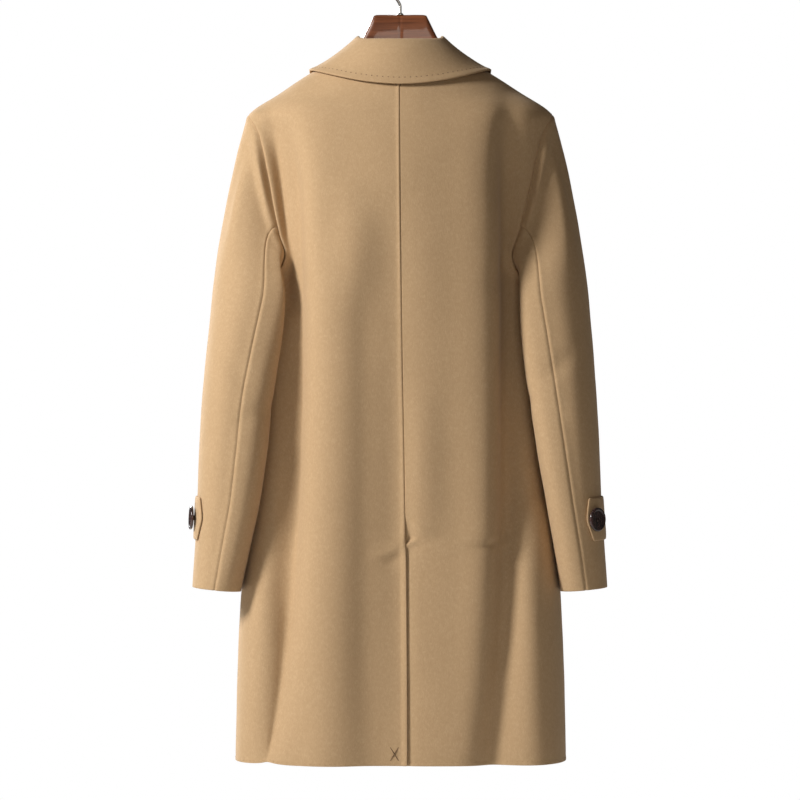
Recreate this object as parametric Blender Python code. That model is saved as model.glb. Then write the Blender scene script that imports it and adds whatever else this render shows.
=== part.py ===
"""A wool overcoat hanging on a wooden hanger, as its cut and sewn pieces.

Metres, +Z up. The coat faces -Y and its wearer's left is +X. The origin is the inside top of the
hanger's hook, where a rail carries it. The body is a form of rounded sections: a turn of 0 degrees
is the wearer's left side, 90 the centre back, 180 the right side and -90 the centre front.
"""

import math

import bmesh
import bpy
from mathutils import Vector

# Cloth: double-faced coating
WALL = 0.0026
COLLAR_WALL = 0.0028
SEAM_GAP = 0.0003
HIND_ARM_GAP = 0.0004
FOREARM_GAP = 0.0012
LAYER_GAP = 0.0012
LAYER_DROP = WALL + LAYER_GAP

# Body sections: height, half width, depth behind, depth before, squareness
BODY = (
    (-0.121, 0.0720, 0.0560, 0.0600, 1.90),
    (-0.150, 0.1250, 0.0730, 0.0710, 1.90),
    (-0.178, 0.1680, 0.0840, 0.0800, 1.95),
    (-0.207, 0.2115, 0.0940, 0.0880, 2.00),
    (-0.240, 0.2070, 0.1030, 0.0960, 2.05),
    (-0.290, 0.1990, 0.1100, 0.1040, 2.10),
    (-0.350, 0.1930, 0.1150, 0.1100, 2.15),
    (-0.450, 0.1900, 0.1170, 0.1130, 2.20),
    (-0.600, 0.1970, 0.1160, 0.1120, 2.30),
    (-0.750, 0.2100, 0.1160, 0.1130, 2.60),
    (-0.890, 0.2225, 0.1200, 0.1170, 3.00),
    (-1.107, 0.2290, 0.1260, 0.1230, 3.20),
)
HEM = -1.107

# Hanging folds: face (1 back, -1 front), x at the top, middle and foot, top, foot, half breadth,
# depth inwards
FOLDS = (
    (1, 0.166, 0.146, 0.205, -0.19, -1.20, 0.020, 0.024),
    (1, -0.148, -0.150, -0.085, -0.19, -1.40, 0.022, 0.020),
    (1, -0.166, -0.176, -0.200, -0.74, -1.35, 0.020, -0.010),
    (1, 0.098, 0.092, 0.122, -0.36, -1.30, 0.030, -0.007),
    (1, 0.055, 0.052, 0.024, -0.40, -1.30, 0.026, 0.007),
    (1, -0.030, -0.032, -0.038, -0.55, -1.30, 0.024, -0.004),
    (-1, 0.150, 0.140, 0.165, -0.24, -1.15, 0.024, 0.012),
    (-1, -0.148, -0.150, -0.160, -0.24, -1.20, 0.024, 0.012),
    (-1, 0.075, 0.085, 0.100, -0.45, -1.30, 0.030, -0.006),
    (-1, -0.095, -0.090, -0.110, -0.50, -1.30, 0.028, -0.006),
)
FOLD_FADE = 0.13
SIDE_CALM = 0.040

# Neck line: half width, height at the shoulders, the centre back and the centre front
NECK_HALF_WIDTH = 0.072
NECK_SIDE = -0.121
NECK_BACK = -0.141
NECK_FRONT = -0.213
NECK_BACK_CURVE = 1.6
NECK_FRONT_CURVE = 1.15
SHOULDER_BACK = -0.203
SHOULDER_FRONT = -0.246
ROW_DIP = 0.6

# Centre-back seam: x at the neck and the hem, and the vent
SEAM_TOP_X = 0.0
SEAM_FOOT_X = -0.0090
VENT_TOP = -0.800
VENT_LAP = 0.032
VENT_SLOPE = 0.012
VENT_EASE = 0.045
LAP_EASE = 0.038
LAP_LEVEL = 0.022

# Front lap: each front runs this far past the centre front
FRONT_LAP = 0.020

# Armhole, from the shoulder round the back: turn, height
ARMHOLE = (
    (-4.0, -0.2070),
    (14.5, -0.2190),
    (20.0, -0.2500),
    (21.5, -0.2900),
    (23.5, -0.3300),
    (27.5, -0.3750),
    (31.0, -0.4100),
    (22.0, -0.4400),
    (0.0, -0.4520),
    (-20.0, -0.4420),
    (-27.0, -0.4120),
    (-26.0, -0.3700),
    (-23.0, -0.3200),
    (-22.0, -0.2700),
    (-17.0, -0.2220),
)
ARM_FOOT = 8.0

# Angle at which the sleeve leaves the body's surface: place round the armhole, degrees
SLEEVE_LIFT = (
    (0.0, 0.0),
    (1.0, 8.0),
    (2.0, 20.0),
    (3.0, 26.0),
    (4.0, 30.0),
    (4.8, 38.0),
    (5.6, 60.0),
    (6.4, 90.0),
    (7.2, 120.0),
    (8.0, 145.0),
    (8.7, 130.0),
    (9.4, 98.0),
    (10.1, 66.0),
    (10.8, 44.0),
    (11.5, 31.0),
    (13.0, 20.0),
    (14.0, 8.0),
    (15.0, 0.0),
)

# Sleeve sections: height, outer x, inner x, centre y, half depth, angle of the hind-arm seam
SLEEVE_LEFT = (
    (-0.470, 0.2640, 0.1300, 0.003, 0.0840, 96.0),
    (-0.540, 0.2700, 0.1540, 0.016, 0.0820, 97.0),
    (-0.607, 0.2760, 0.1700, 0.026, 0.0800, 96.0),
    (-0.680, 0.2800, 0.1780, 0.033, 0.0760, 94.0),
    (-0.747, 0.2825, 0.1880, 0.034, 0.0720, 92.0),
    (-0.810, 0.2855, 0.2020, 0.034, 0.0660, 88.0),
    (-0.866, 0.2885, 0.2150, 0.034, 0.0600, 85.0),
)
SLEEVE_RIGHT = (
    (-0.470, 0.2640, 0.1460, 0.006, 0.0810, 100.0),
    (-0.540, 0.2690, 0.1600, 0.016, 0.0800, 99.0),
    (-0.607, 0.2733, 0.1730, 0.026, 0.0790, 98.0),
    (-0.680, 0.2775, 0.1850, 0.033, 0.0750, 95.0),
    (-0.747, 0.2800, 0.1970, 0.034, 0.0710, 92.0),
    (-0.810, 0.2840, 0.2080, 0.034, 0.0660, 88.0),
    (-0.866, 0.2880, 0.2160, 0.034, 0.0600, 85.0),
)
SLEEVE_SQUARENESS = 2.3
FOREARM_ANGLE = 245.0
UNDERARM_GAP = 0.0020
SLEEVE_CLEAR = 0.0045
SLEEVE_SOFT = 0.0050
CAP_FOOT = -0.470
CAP_EASE_OUTER = 0.32
CAP_EASE_INNER = 0.90
CUFF = -0.866
CUFF_SLANT = 0.08
CAP_STEPS = (0.0, 0.04, 0.09, 0.15, 0.22, 0.35, 0.54, 0.77, 1.0)
SLEEVE_ROWS = (-0.509, -0.548, -0.587, -0.626, -0.664, -0.702, -0.740, -0.770, -0.800, -0.833, CUFF)

# Sleeve tabs, level with a row of the sleeve at their top and foot
TAB_TOP = -0.740
TAB_FOOT = -0.800
TAB_WALL = 0.0024
TAB_GAP = 0.0005
TAB_START = 0.05
TAB_POINT = 0.5
TAB_TIP = {1: 2.38, -1: 3.75}
TAB_BUTTON_BACK = {1: 1.40, -1: 0.85}

# Collar: lean and rise of the fold line from the neck line, and the fall's edge
ROLL_RADIUS = 0.0028
ROLL_SIDE = (-0.0128, 0.0232)
ROLL_BACK = (-0.0100, 0.0335)
ROLL_FRONT = (-0.0060, 0.0410)
FALL_SIDE_X = 0.125
FALL_SIDE = -0.150
FALL_BACK = -0.1738
FALL_BACK_POWER = 1.9
COLLAR_POINT_X = 0.050
COLLAR_POINT = -0.280
COLLAR_END = 0.003
COLLAR_SEAT = 0.0016
COLLAR_STAND_OFF = 0.0006
FALL_ROWS = 4

# Buttons
BUTTON_RADIUS = 0.0165
BUTTON_THICKNESS = 0.0046
BUTTON_DISH = 0.0012
BUTTON_RIM = 0.0035
SHANK_RADIUS = 0.0040
SHANK_HEIGHT = 0.0022
BUTTON_SEAT = 0.0005
BUTTON_SIDES = 16
FRONT_BUTTONS = (-0.300, -0.425, -0.550, -0.675)

# Hanger: x, top, foot, half thickness
HANGER = (
    (0.0000, -0.0680, -0.1360, 0.0080),
    (0.0335, -0.0680, -0.1400, 0.0080),
    (0.0370, -0.0696, -0.1410, 0.0080),
    (0.0400, -0.0755, -0.1420, 0.0080),
    (0.0505, -0.0970, -0.1460, 0.0085),
    (0.0610, -0.1150, -0.1500, 0.0090),
    (0.0700, -0.1250, -0.1540, 0.0100),
    (0.0850, -0.1335, -0.1610, 0.0120),
    (0.1050, -0.1445, -0.1720, 0.0145),
    (0.1250, -0.1562, -0.1850, 0.0160),
    (0.1500, -0.1724, -0.2000, 0.0165),
    (0.1750, -0.1890, -0.2160, 0.0165),
    (0.1930, -0.2012, -0.2270, 0.0150),
    (0.2000, -0.2080, -0.2260, 0.0110),
)
HANGER_SQUARENESS = 2.6
HANGER_SIDES = 14

# Hook
WIRE_RADIUS = 0.0019
HOOK_RADIUS = 0.0200
HOOK_TIP_TURN = 205.0
HOOK_STEM_TURN = -35.0
HOOK_STEPS = 20
STEM_TOP = -0.056

BACK, FRONT = 1, -1
LEFT, RIGHT = 1, -1
SHOULDER_ROWS = 4
ARM_STEPS = 10
SEAM_STEP = 6
UPPER_SKIRT_ROWS = 6
LOWER_SKIRT_ROWS = 5
BODY_COLUMNS = 12
FRONT_COLUMNS = 10
FRONT_LAP_COLUMNS = 2
ARM_LAST = SHOULDER_ROWS + ARM_STEPS
VENT_ROW = ARM_LAST + UPPER_SKIRT_ROWS
LAST_ROW = VENT_ROW + 1 + LOWER_SKIRT_ROWS


def blend(a, b, share):
    return a + (b - a) * share


def ease(low, high, value):
    f = min(max((value - low) / (high - low), 0.0), 1.0)
    return f * f * (3 - 2 * f)


def smooth_value(rows, at, column):
    """One column of a table as a smooth curve over its first column."""
    rows = rows if rows[0][0] < rows[-1][0] else rows[::-1]
    places = [row[0] for row in rows]
    values = [row[column] for row in rows]
    at = min(max(at, places[0]), places[-1])
    k = max(i for i in range(len(rows) - 1) if places[i] <= at)
    slopes = []
    for i in (k, k + 1):
        low, high = max(i - 1, 0), min(i + 1, len(rows) - 1)
        slopes.append((values[high] - values[low]) / (places[high] - places[low]))
    step = places[k + 1] - places[k]
    return hermite(values[k], slopes[0] * step, values[k + 1], slopes[1] * step, (at - places[k]) / step)


def hermite(start, start_slope, end, end_slope, f):
    return (
        start * ((1 + 2 * f) * (1 - f) ** 2)
        + start_slope * (f * (1 - f) ** 2)
        + end * (f * f * (3 - 2 * f))
        + end_slope * (f * f * (f - 1))
    )


# ---------------------------------------------------------------- the body's form


def sections(height, face):
    """Half width, depth and squareness of the body at a height."""
    depth_column = 2 if face == BACK else 3
    return (
        smooth_value(BODY, height, 1),
        smooth_value(BODY, height, depth_column),
        smooth_value(BODY, height, 4),
    )


def fold_depth(x, height, face):
    total = 0.0
    for side, top_x, middle_x, foot_x, top, foot, breadth, depth in FOLDS:
        if side != face or not foot < height < top:
            continue
        s = (top - height) / (top - foot)
        centre = top_x * (1 - s) * (1 - 2 * s) + 4 * middle_x * s * (1 - s) + foot_x * s * (2 * s - 1)
        fade = ease(0, FOLD_FADE, top - height) * ease(0, FOLD_FADE, height - foot)
        total += depth * fade * math.exp(-(((x - centre) / breadth) ** 2))
    return total


def body_point(turn, height):
    """A point of the coat's outside."""
    c, s = math.cos(math.radians(turn)), math.sin(math.radians(turn))
    face = BACK if s >= 0 else FRONT
    a, b, n = sections(height, face)
    k = (abs(c) ** n + abs(s) ** n) ** (-1 / n)
    x, y = a * k * c, b * k * s
    out = Vector((math.copysign(abs(k * c) ** (n - 1) / a, c), math.copysign(abs(k * s) ** (n - 1) / b, s), 0))
    fold = fold_depth(x, height, face) * ease(0, SIDE_CALM, abs(y))
    return Vector((x, y, height)) - out.normalized() * fold


def body_normal(turn, height):
    around = body_point(turn + 0.6, height) - body_point(turn - 0.6, height)
    up = body_point(turn, height + 0.0015) - body_point(turn, height - 0.0015)
    return around.cross(up).normalized()


def turn_at(x, height, face):
    """The turn at which the body, without its folds, is at x."""
    a, _, n = sections(height, face)
    q = min(max(x / a, -1.0), 1.0)
    return face * math.degrees(math.atan2((1 - abs(q) ** n) ** (1 / n), q))


def on_side(side, turn):
    """A turn worked out for the wearer's left, as it is on either side."""
    return turn if side == LEFT else 180 - turn


def seam_x(height):
    return blend(SEAM_TOP_X, SEAM_FOOT_X, ease(NECK_BACK, HEM, height))


# ---------------------------------------------------------------- the edges of the panels


def armhole(place):
    """Turn and height of a place round the wearer's left armhole."""
    k = math.floor(place)
    f = place - k
    before, start, end, after = (ARMHOLE[(k + i) % len(ARMHOLE)] for i in (-1, 0, 1, 2))
    return tuple(
        hermite(start[i], (end[i] - before[i]) / 2, end[i], (after[i] - start[i]) / 2, f) for i in (0, 1)
    )


def arm_place(step, face):
    """Where the body's rows and the sleeve's columns meet, from the shoulder to the underarm."""
    whole = ARM_FOOT if face == BACK else ARM_FOOT - len(ARMHOLE)
    return whole * step / ARM_STEPS


def outer_edge(face, row):
    """Turn and height of a panel's shoulder seam, armhole and side seam."""
    top_turn, top = ARMHOLE[0]
    _, foot = ARMHOLE[int(ARM_FOOT)]
    if row < SHOULDER_ROWS:
        share = row / SHOULDER_ROWS
        turn, height = top_turn * share, blend(NECK_SIDE, top, share)
    elif row <= ARM_LAST:
        turn, height = armhole(arm_place(row - SHOULDER_ROWS, face))
    elif row <= VENT_ROW:
        turn, height = 0.0, blend(foot, VENT_TOP, (row - ARM_LAST) / UPPER_SKIRT_ROWS)
    else:
        turn, height = 0.0, blend(VENT_TOP - VENT_SLOPE, HEM, (row - VENT_ROW - 1) / LOWER_SKIRT_ROWS)
    if not SHOULDER_ROWS < row < ARM_LAST:
        turn += face * math.degrees(SEAM_GAP / 2 / sections(height, face)[1])
    return turn, height


def middle_height(face, row):
    top, shoulder = (NECK_BACK, SHOULDER_BACK) if face == BACK else (NECK_FRONT, SHOULDER_FRONT)
    if row <= SHOULDER_ROWS:
        return blend(top, shoulder, row / SHOULDER_ROWS)
    _, edge = outer_edge(face, row)
    if row >= ARM_LAST:
        return edge
    _, arm_top = ARMHOLE[0]
    _, arm_foot = ARMHOLE[int(ARM_FOOT)]
    return blend(shoulder, arm_foot, (edge - arm_top) / (arm_foot - arm_top))


def middle_reach(side, face, row):
    """How far from the centre the panel's middle edge lies, on its own side."""
    if face == FRONT:
        return 0.0
    reach = side * seam_x(middle_height(face, row)) + SEAM_GAP / 2
    return reach - VENT_LAP if side == RIGHT and row > VENT_ROW else reach


def neck_place(face, share, reach=0.0):
    """Turn and height of the neck line, from a shoulder (0) to the centre (1)."""
    if share == 0:
        return outer_edge(face, 0)
    angle = math.radians(90 * share)
    if face == BACK:
        height = NECK_BACK + (NECK_SIDE - NECK_BACK) * (1 - share) ** NECK_BACK_CURVE
    else:
        height = NECK_FRONT + (NECK_SIDE - NECK_FRONT) * (1 - math.sin(angle)) ** NECK_FRONT_CURVE
    return turn_at(blend(reach, NECK_HALF_WIDTH, math.cos(angle)), height, face), height


def panel_place(side, face, row, share):
    """Turn and height in a panel: share is 0 at its outer edge, 1 at the centre, more in a front lap."""
    edge_turn, edge_height = outer_edge(face, row)
    middle = middle_height(face, row)
    reach = middle_reach(side, face, row)
    if share > 1:
        return on_side(side, turn_at(-FRONT_LAP * (share - 1), middle, face)), middle
    turn = blend(edge_turn, turn_at(reach, middle, face), share)
    power = 1 + ROW_DIP * max(0.0, 1 - row / ARM_LAST)
    height = middle + (edge_height - middle) * (1 - share) ** power
    if row < SHOULDER_ROWS:
        neck_turn, neck_height = neck_place(face, share, reach)
        turn = blend(neck_turn, turn, row / SHOULDER_ROWS)
        height = blend(neck_height, height, row / SHOULDER_ROWS)
    return on_side(side, turn), height


def lap_sink(side, face, x, height):
    """How far a panel is moved in where its fellow lies over it."""
    if side == LEFT:
        return 0.0
    if face == FRONT:
        level = -FRONT_LAP - LAP_LEVEL
        return LAYER_DROP * ease(level - LAP_EASE, level, x)
    level = seam_x(height) - LAP_LEVEL
    return LAYER_DROP * ease(level - LAP_EASE, level, x) * ease(-VENT_TOP - VENT_EASE, -VENT_TOP, -height)


# ---------------------------------------------------------------- the sleeves' form


def sleeve_row(side, height):
    table = SLEEVE_LEFT if side == LEFT else SLEEVE_RIGHT
    return [smooth_value(table, height, column) for column in range(1, 6)]


def ring_point(side, place, height):
    """A point of a sleeve's level section, kept clear of the body."""
    outer, inner, centre_y, depth, hind_angle = sleeve_row(side, height)
    corners = (
        (0.0, 0.0),
        (arm_place(SEAM_STEP, BACK), hind_angle),
        (ARM_FOOT, 180.0),
        (arm_place(SEAM_STEP, FRONT) + len(ARMHOLE), FOREARM_ANGLE),
        (float(len(ARMHOLE)), 360.0),
    )
    place %= len(ARMHOLE)
    k = max(i for i in range(len(corners) - 1) if corners[i][0] <= place)
    (low, low_angle), (high, high_angle) = corners[k], corners[k + 1]
    angle = math.radians(blend(low_angle, high_angle, (place - low) / (high - low)))
    c, s = math.cos(angle), math.sin(angle)
    k = (abs(c) ** SLEEVE_SQUARENESS + abs(s) ** SLEEVE_SQUARENESS) ** (-1 / SLEEVE_SQUARENESS)
    x = (outer + inner) / 2 + (outer - inner) / 2 * k * c
    y = centre_y + depth * k * s
    a, b, n = sections(height, BACK if y >= 0 else FRONT)
    reach = math.hypot(x, y)
    body = reach / (abs(x / (a + SLEEVE_CLEAR)) ** n + abs(y / (b + SLEEVE_CLEAR)) ** n) ** (1 / n)
    clear = body + SLEEVE_SOFT * math.log1p(math.exp((reach - body) / SLEEVE_SOFT))
    slant = CUFF_SLANT * max(0.0, outer - x) * ease(CAP_FOOT, CUFF, height)
    return Vector((side * x * clear / reach, y * clear / reach, height - slant))


def sleeve_point(side, place, along):
    """A point of a sleeve: along is 0 at the armhole, 1 below the underarm and 2 at the cuff."""
    if along > 1:
        return ring_point(side, place, blend(CAP_FOOT, CUFF, along - 1))
    turn, height = armhole(place)
    turn = on_side(side, turn)
    start = body_point(turn, height)
    normal = body_normal(turn, height)
    (turn_0, height_0), (turn_1, height_1) = armhole(place - 0.05), armhole(place + 0.05)
    run = body_point(on_side(side, turn_1), height_1) - body_point(on_side(side, turn_0), height_0)
    away = run.cross(normal).normalized() * side
    lift = math.radians(smooth_value(SLEEVE_LIFT, place % len(ARMHOLE), 1))
    leave = away * math.cos(lift) + normal * math.sin(lift)
    gap = blend(SEAM_GAP, UNDERARM_GAP, math.sin(lift / 2) ** 2)
    start += (away * math.cos(lift / 2) + normal * math.sin(lift / 2)) * gap
    end = ring_point(side, place, CAP_FOOT)
    fall = (ring_point(side, place, CAP_FOOT - 0.01) - end) / 0.01
    length = (end - start).length
    inner_share = (1 - math.cos(math.tau * place / len(ARMHOLE))) / 2
    leave *= length * blend(CAP_EASE_OUTER, CAP_EASE_INNER, inner_share)
    return hermite(start, leave, end, fall * length, along)


def sleeve_normal(side, place, along):
    run = sleeve_point(side, place + 0.05, along) - sleeve_point(side, place - 0.05, along)
    down = sleeve_point(side, place, min(along + 0.01, 2)) - sleeve_point(side, place, max(along - 0.01, 0))
    return run.cross(down).normalized() * -side


def sleeve_chord(side, place, along):
    """A point on the flat between two columns of a sleeve, and the sleeve's normal there."""
    step = arm_place(1, BACK) if place >= 0 else -arm_place(1, FRONT)
    low = math.floor(place / step) * step
    share = (place - low) / step
    point = sleeve_point(side, low, along).lerp(sleeve_point(side, low + step, along), share)
    return point, sleeve_normal(side, place, along)


def along_at(height):
    return 1 + (height - CAP_FOOT) / (CUFF - CAP_FOOT)


# ---------------------------------------------------------------- making the pieces


def material(name, colour, roughness, metallic=0.0, coat=0.0):
    made = bpy.data.materials.new(name)
    made.use_nodes = True
    shader = made.node_tree.nodes["Principled BSDF"]
    shader.inputs["Base Color"].default_value = (*colour, 1)
    shader.inputs["Roughness"].default_value = roughness
    shader.inputs["Metallic"].default_value = metallic
    shader.inputs["Coat Weight"].default_value = coat
    return made


def add_mesh(name, bm, finish, smooth=40):
    mesh = bpy.data.meshes.new(name)
    bmesh.ops.recalc_face_normals(bm, faces=bm.faces)
    bm.to_mesh(mesh)
    bm.free()
    mesh.shade_smooth()
    mesh.set_sharp_from_angle(angle=math.radians(smooth))
    mesh.materials.append(finish)
    return add_object(name, mesh)


def add_object(name, data):
    made = bpy.data.objects.new(name, data)
    COLLECTION.objects.link(made)
    return made


def cloth(name, outside, inside, finish):
    """A wall of cloth between two grids of points, joined round their edges."""
    bm = bmesh.new()
    for points in (outside, inside):
        columns = len(points[0])
        grid = bmesh.ops.create_grid(bm, x_segments=columns - 1, y_segments=len(points) - 1, size=1)
        for k, vert in enumerate(grid["verts"]):
            vert.co = points[k // columns][k % columns]
    bmesh.ops.bridge_loops(bm, edges=[edge for edge in bm.edges if edge.is_boundary])
    return add_mesh(name, bm, finish)


def body_panel(side, face, finish):
    outside, inside = [], []
    if face == BACK:
        shares = [k / BODY_COLUMNS for k in range(BODY_COLUMNS + 1)]
    else:
        shares = [k / FRONT_COLUMNS for k in range(FRONT_COLUMNS + 1)]
        shares += [1 + (k + 1) / FRONT_LAP_COLUMNS for k in range(FRONT_LAP_COLUMNS)]
    for row in range(LAST_ROW + 1):
        outside.append([])
        inside.append([])
        for share in shares:
            turn, height = panel_place(side, face, row, share)
            point, normal = body_point(turn, height), body_normal(turn, height)
            sink = lap_sink(side, face, point.x, height)
            outside[-1].append(point - normal * sink)
            inside[-1].append(point - normal * (sink + WALL))
    name = f"{'back' if face == BACK else 'front'}_{'left' if side == LEFT else 'right'}"
    return cloth(name, outside, inside, finish)


def sleeve_panel(side, part, finish):
    if part == "upper":
        places = [arm_place(k, BACK) for k in range(SEAM_STEP, -1, -1)]
        places += [arm_place(k, FRONT) for k in range(1, SEAM_STEP + 1)]
        inward = -1
    else:
        places = [arm_place(k, BACK) for k in range(SEAM_STEP, ARM_STEPS + 1)]
        places += [arm_place(k, FRONT) + len(ARMHOLE) for k in range(ARM_STEPS - 1, SEAM_STEP - 1, -1)]
        inward = 1
    alongs = list(CAP_STEPS) + [along_at(height) for height in SLEEVE_ROWS]
    outside, inside = [], []
    for along in alongs:
        row = []
        for k, place in enumerate(places):
            if k in (0, len(places) - 1):
                run = sleeve_point(side, place + 0.05, along) - sleeve_point(side, place - 0.05, along)
                gap = HIND_ARM_GAP if k == 0 else -FOREARM_GAP
                place += inward * gap / 2 / (run.length / 0.1)
            row.append((sleeve_point(side, place, along), sleeve_normal(side, place, along)))
        outside.append([point for point, _ in row])
        inside.append([point - normal * WALL for point, normal in row])
    name = f"sleeve_{'left' if side == LEFT else 'right'}_{part}"
    return cloth(name, outside, inside, finish)


def sleeve_tab(side, finish):
    """A pointed tab from the forearm seam round the outside of the sleeve."""
    start = arm_place(SEAM_STEP, FRONT) + TAB_START
    tip = TAB_TIP[side]
    places = [start] + [arm_place(k, FRONT) for k in range(SEAM_STEP - 1, 0, -1)]
    k = 0
    while arm_place(k, BACK) < tip - TAB_POINT:
        places.append(arm_place(k, BACK))
        k += 1
    outside, inside = [], []
    for height, end in ((TAB_TOP, tip - TAB_POINT), ((TAB_TOP + TAB_FOOT) / 2, tip), (TAB_FOOT, tip - TAB_POINT)):
        outside.append([])
        inside.append([])
        for place in [*places, end]:
            point, normal = sleeve_chord(side, place, along_at(height))
            outside[-1].append(point + normal * (TAB_GAP + TAB_WALL))
            inside[-1].append(point + normal * TAB_GAP)
    return cloth(f"sleeve_tab_{'left' if side == LEFT else 'right'}", outside, inside, finish)


def turned(name, profile, sides, finish):
    """A solid turned round Z from (radius, height) pairs that start and end on the axis."""
    bm = bmesh.new()
    verts = [bm.verts.new((radius, 0, height)) for radius, height in profile]
    edges = [bm.edges.new(pair) for pair in zip(verts, verts[1:])]
    bmesh.ops.spin(
        bm, geom=verts + edges, cent=(0, 0, 0), axis=(0, 0, 1), angle=math.tau, steps=sides, use_merge=True
    )
    bmesh.ops.remove_doubles(bm, verts=bm.verts, dist=1e-6)
    return add_mesh(name, bm, finish)


def button(name, point, normal, finish):
    """A round button with a raised rim, standing on its shank of thread."""
    top = SHANK_HEIGHT + BUTTON_THICKNESS
    made = turned(
        name,
        (
            (0, 0),
            (SHANK_RADIUS, 0),
            (SHANK_RADIUS, SHANK_HEIGHT),
            (BUTTON_RADIUS - BUTTON_RIM, SHANK_HEIGHT),
            (BUTTON_RADIUS, SHANK_HEIGHT + BUTTON_THICKNESS / 3),
            (BUTTON_RADIUS, top - BUTTON_THICKNESS / 4),
            (BUTTON_RADIUS - BUTTON_RIM / 3, top),
            (BUTTON_RADIUS - BUTTON_RIM, top - BUTTON_DISH),
            (0, top - BUTTON_DISH),
        ),
        BUTTON_SIDES,
        finish,
    )
    made.location = point + normal * BUTTON_SEAT
    made.rotation_mode = "QUATERNION"
    made.rotation_quaternion = Vector((0, 0, 1)).rotation_difference(normal)
    return made


def collar_profile(side, face, share):
    """Points of the collar's middle surface, from the neck line to the fall's edge."""
    turn, height = neck_place(face, share)
    turn = on_side(side, turn)
    base = body_point(turn, height) - body_normal(turn, height) * WALL / 2
    base.z += COLLAR_SEAT
    end = ease(0.8, 1.0, share) if face == FRONT else 0.0
    shift = Vector((side * COLLAR_END * end, 0, 0))
    out = Vector((base.x, base.y, 0)).normalized()
    up = Vector((0, 0, 1))
    lean, rise = (
        blend(ROLL_SIDE[i], (ROLL_BACK if face == BACK else ROLL_FRONT)[i], ease(0, 1, share)) for i in (0, 1)
    )
    roll = base + out * lean + up * rise
    angle = math.radians(90 * share)
    if face == BACK:
        edge_x = FALL_SIDE_X * math.cos(angle)
        edge_height = FALL_BACK + (FALL_SIDE - FALL_BACK) * (edge_x / FALL_SIDE_X) ** FALL_BACK_POWER
    else:
        edge_x = blend(COLLAR_POINT_X, FALL_SIDE_X, math.cos(angle))
        edge_height = blend(FALL_SIDE, COLLAR_POINT, share)
    lift = COLLAR_WALL / 2 + LAYER_GAP + COLLAR_STAND_OFF
    edge_turn = on_side(side, turn_at(edge_x, edge_height, face))
    edge = body_point(edge_turn, edge_height) + body_normal(edge_turn, edge_height) * lift
    above_turn = on_side(side, turn_at(edge_x * 0.96, edge_height + 0.01, face))
    above = body_point(above_turn, edge_height + 0.01)
    above += body_normal(above_turn, edge_height + 0.01) * lift
    turned_over = roll + out * ROLL_RADIUS - up * ROLL_RADIUS
    length = (edge - turned_over).length
    points = [
        base,
        base.lerp(roll - out * ROLL_RADIUS * 1.2, 0.55),
        roll - (out + up) * ROLL_RADIUS,
        roll,
        turned_over,
    ]
    points = [point + shift for point in points]
    leave = (out - up).normalized() * length
    arrive = (edge - above).normalized() * length
    points += [hermite(points[4], leave, edge, arrive, k / FALL_ROWS) for k in range(1, FALL_ROWS + 1)]
    return points


def collar(finish):
    stations = [(LEFT, FRONT, k / FRONT_COLUMNS) for k in range(FRONT_COLUMNS, 0, -1)]
    stations += [(LEFT, BACK, k / BODY_COLUMNS) for k in range(BODY_COLUMNS + 1)]
    stations += [(RIGHT, BACK, k / BODY_COLUMNS) for k in range(BODY_COLUMNS - 1, -1, -1)]
    stations += [(RIGHT, FRONT, k / FRONT_COLUMNS) for k in range(1, FRONT_COLUMNS + 1)]
    middle = [collar_profile(*station) for station in stations]
    faces, backs = [], []
    for i, profile in enumerate(middle):
        faces.append([])
        backs.append([])
        for j, point in enumerate(profile):
            along = profile[min(j + 1, len(profile) - 1)] - profile[max(j - 1, 0)]
            around = middle[min(i + 1, len(middle) - 1)][j] - middle[max(i - 1, 0)][j]
            normal = around.cross(along).normalized() * COLLAR_WALL / 2
            faces[-1].append(point + normal)
            backs[-1].append(point - normal)
    return cloth("collar", faces, backs, finish)


def hanger(finish):
    """A wooden hanger, lofted through rounded sections from end to end."""
    bm = bmesh.new()
    loops = []
    for side in (RIGHT, LEFT):
        rows = HANGER[:0:-1] if side == RIGHT else HANGER
        for x, top, foot, thick in rows:
            ring = bmesh.ops.create_circle(bm, segments=HANGER_SIDES, radius=1)["verts"]
            for vert in ring:
                c, s = vert.co.x, vert.co.y
                k = (abs(c) ** HANGER_SQUARENESS + abs(s) ** HANGER_SQUARENESS) ** (-1 / HANGER_SQUARENESS)
                vert.co = (side * x, thick * k * c, (top + foot) / 2 + (top - foot) / 2 * k * s)
            loops.append([edge for edge in bm.edges if all(vert in ring for vert in edge.verts)])
    for low, high in zip(loops, loops[1:]):
        bmesh.ops.bridge_loops(bm, edges=low + high)
    bmesh.ops.holes_fill(bm, edges=[edge for edge in bm.edges if edge.is_boundary], sides=0)
    return add_mesh("hanger", bm, finish)


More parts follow.
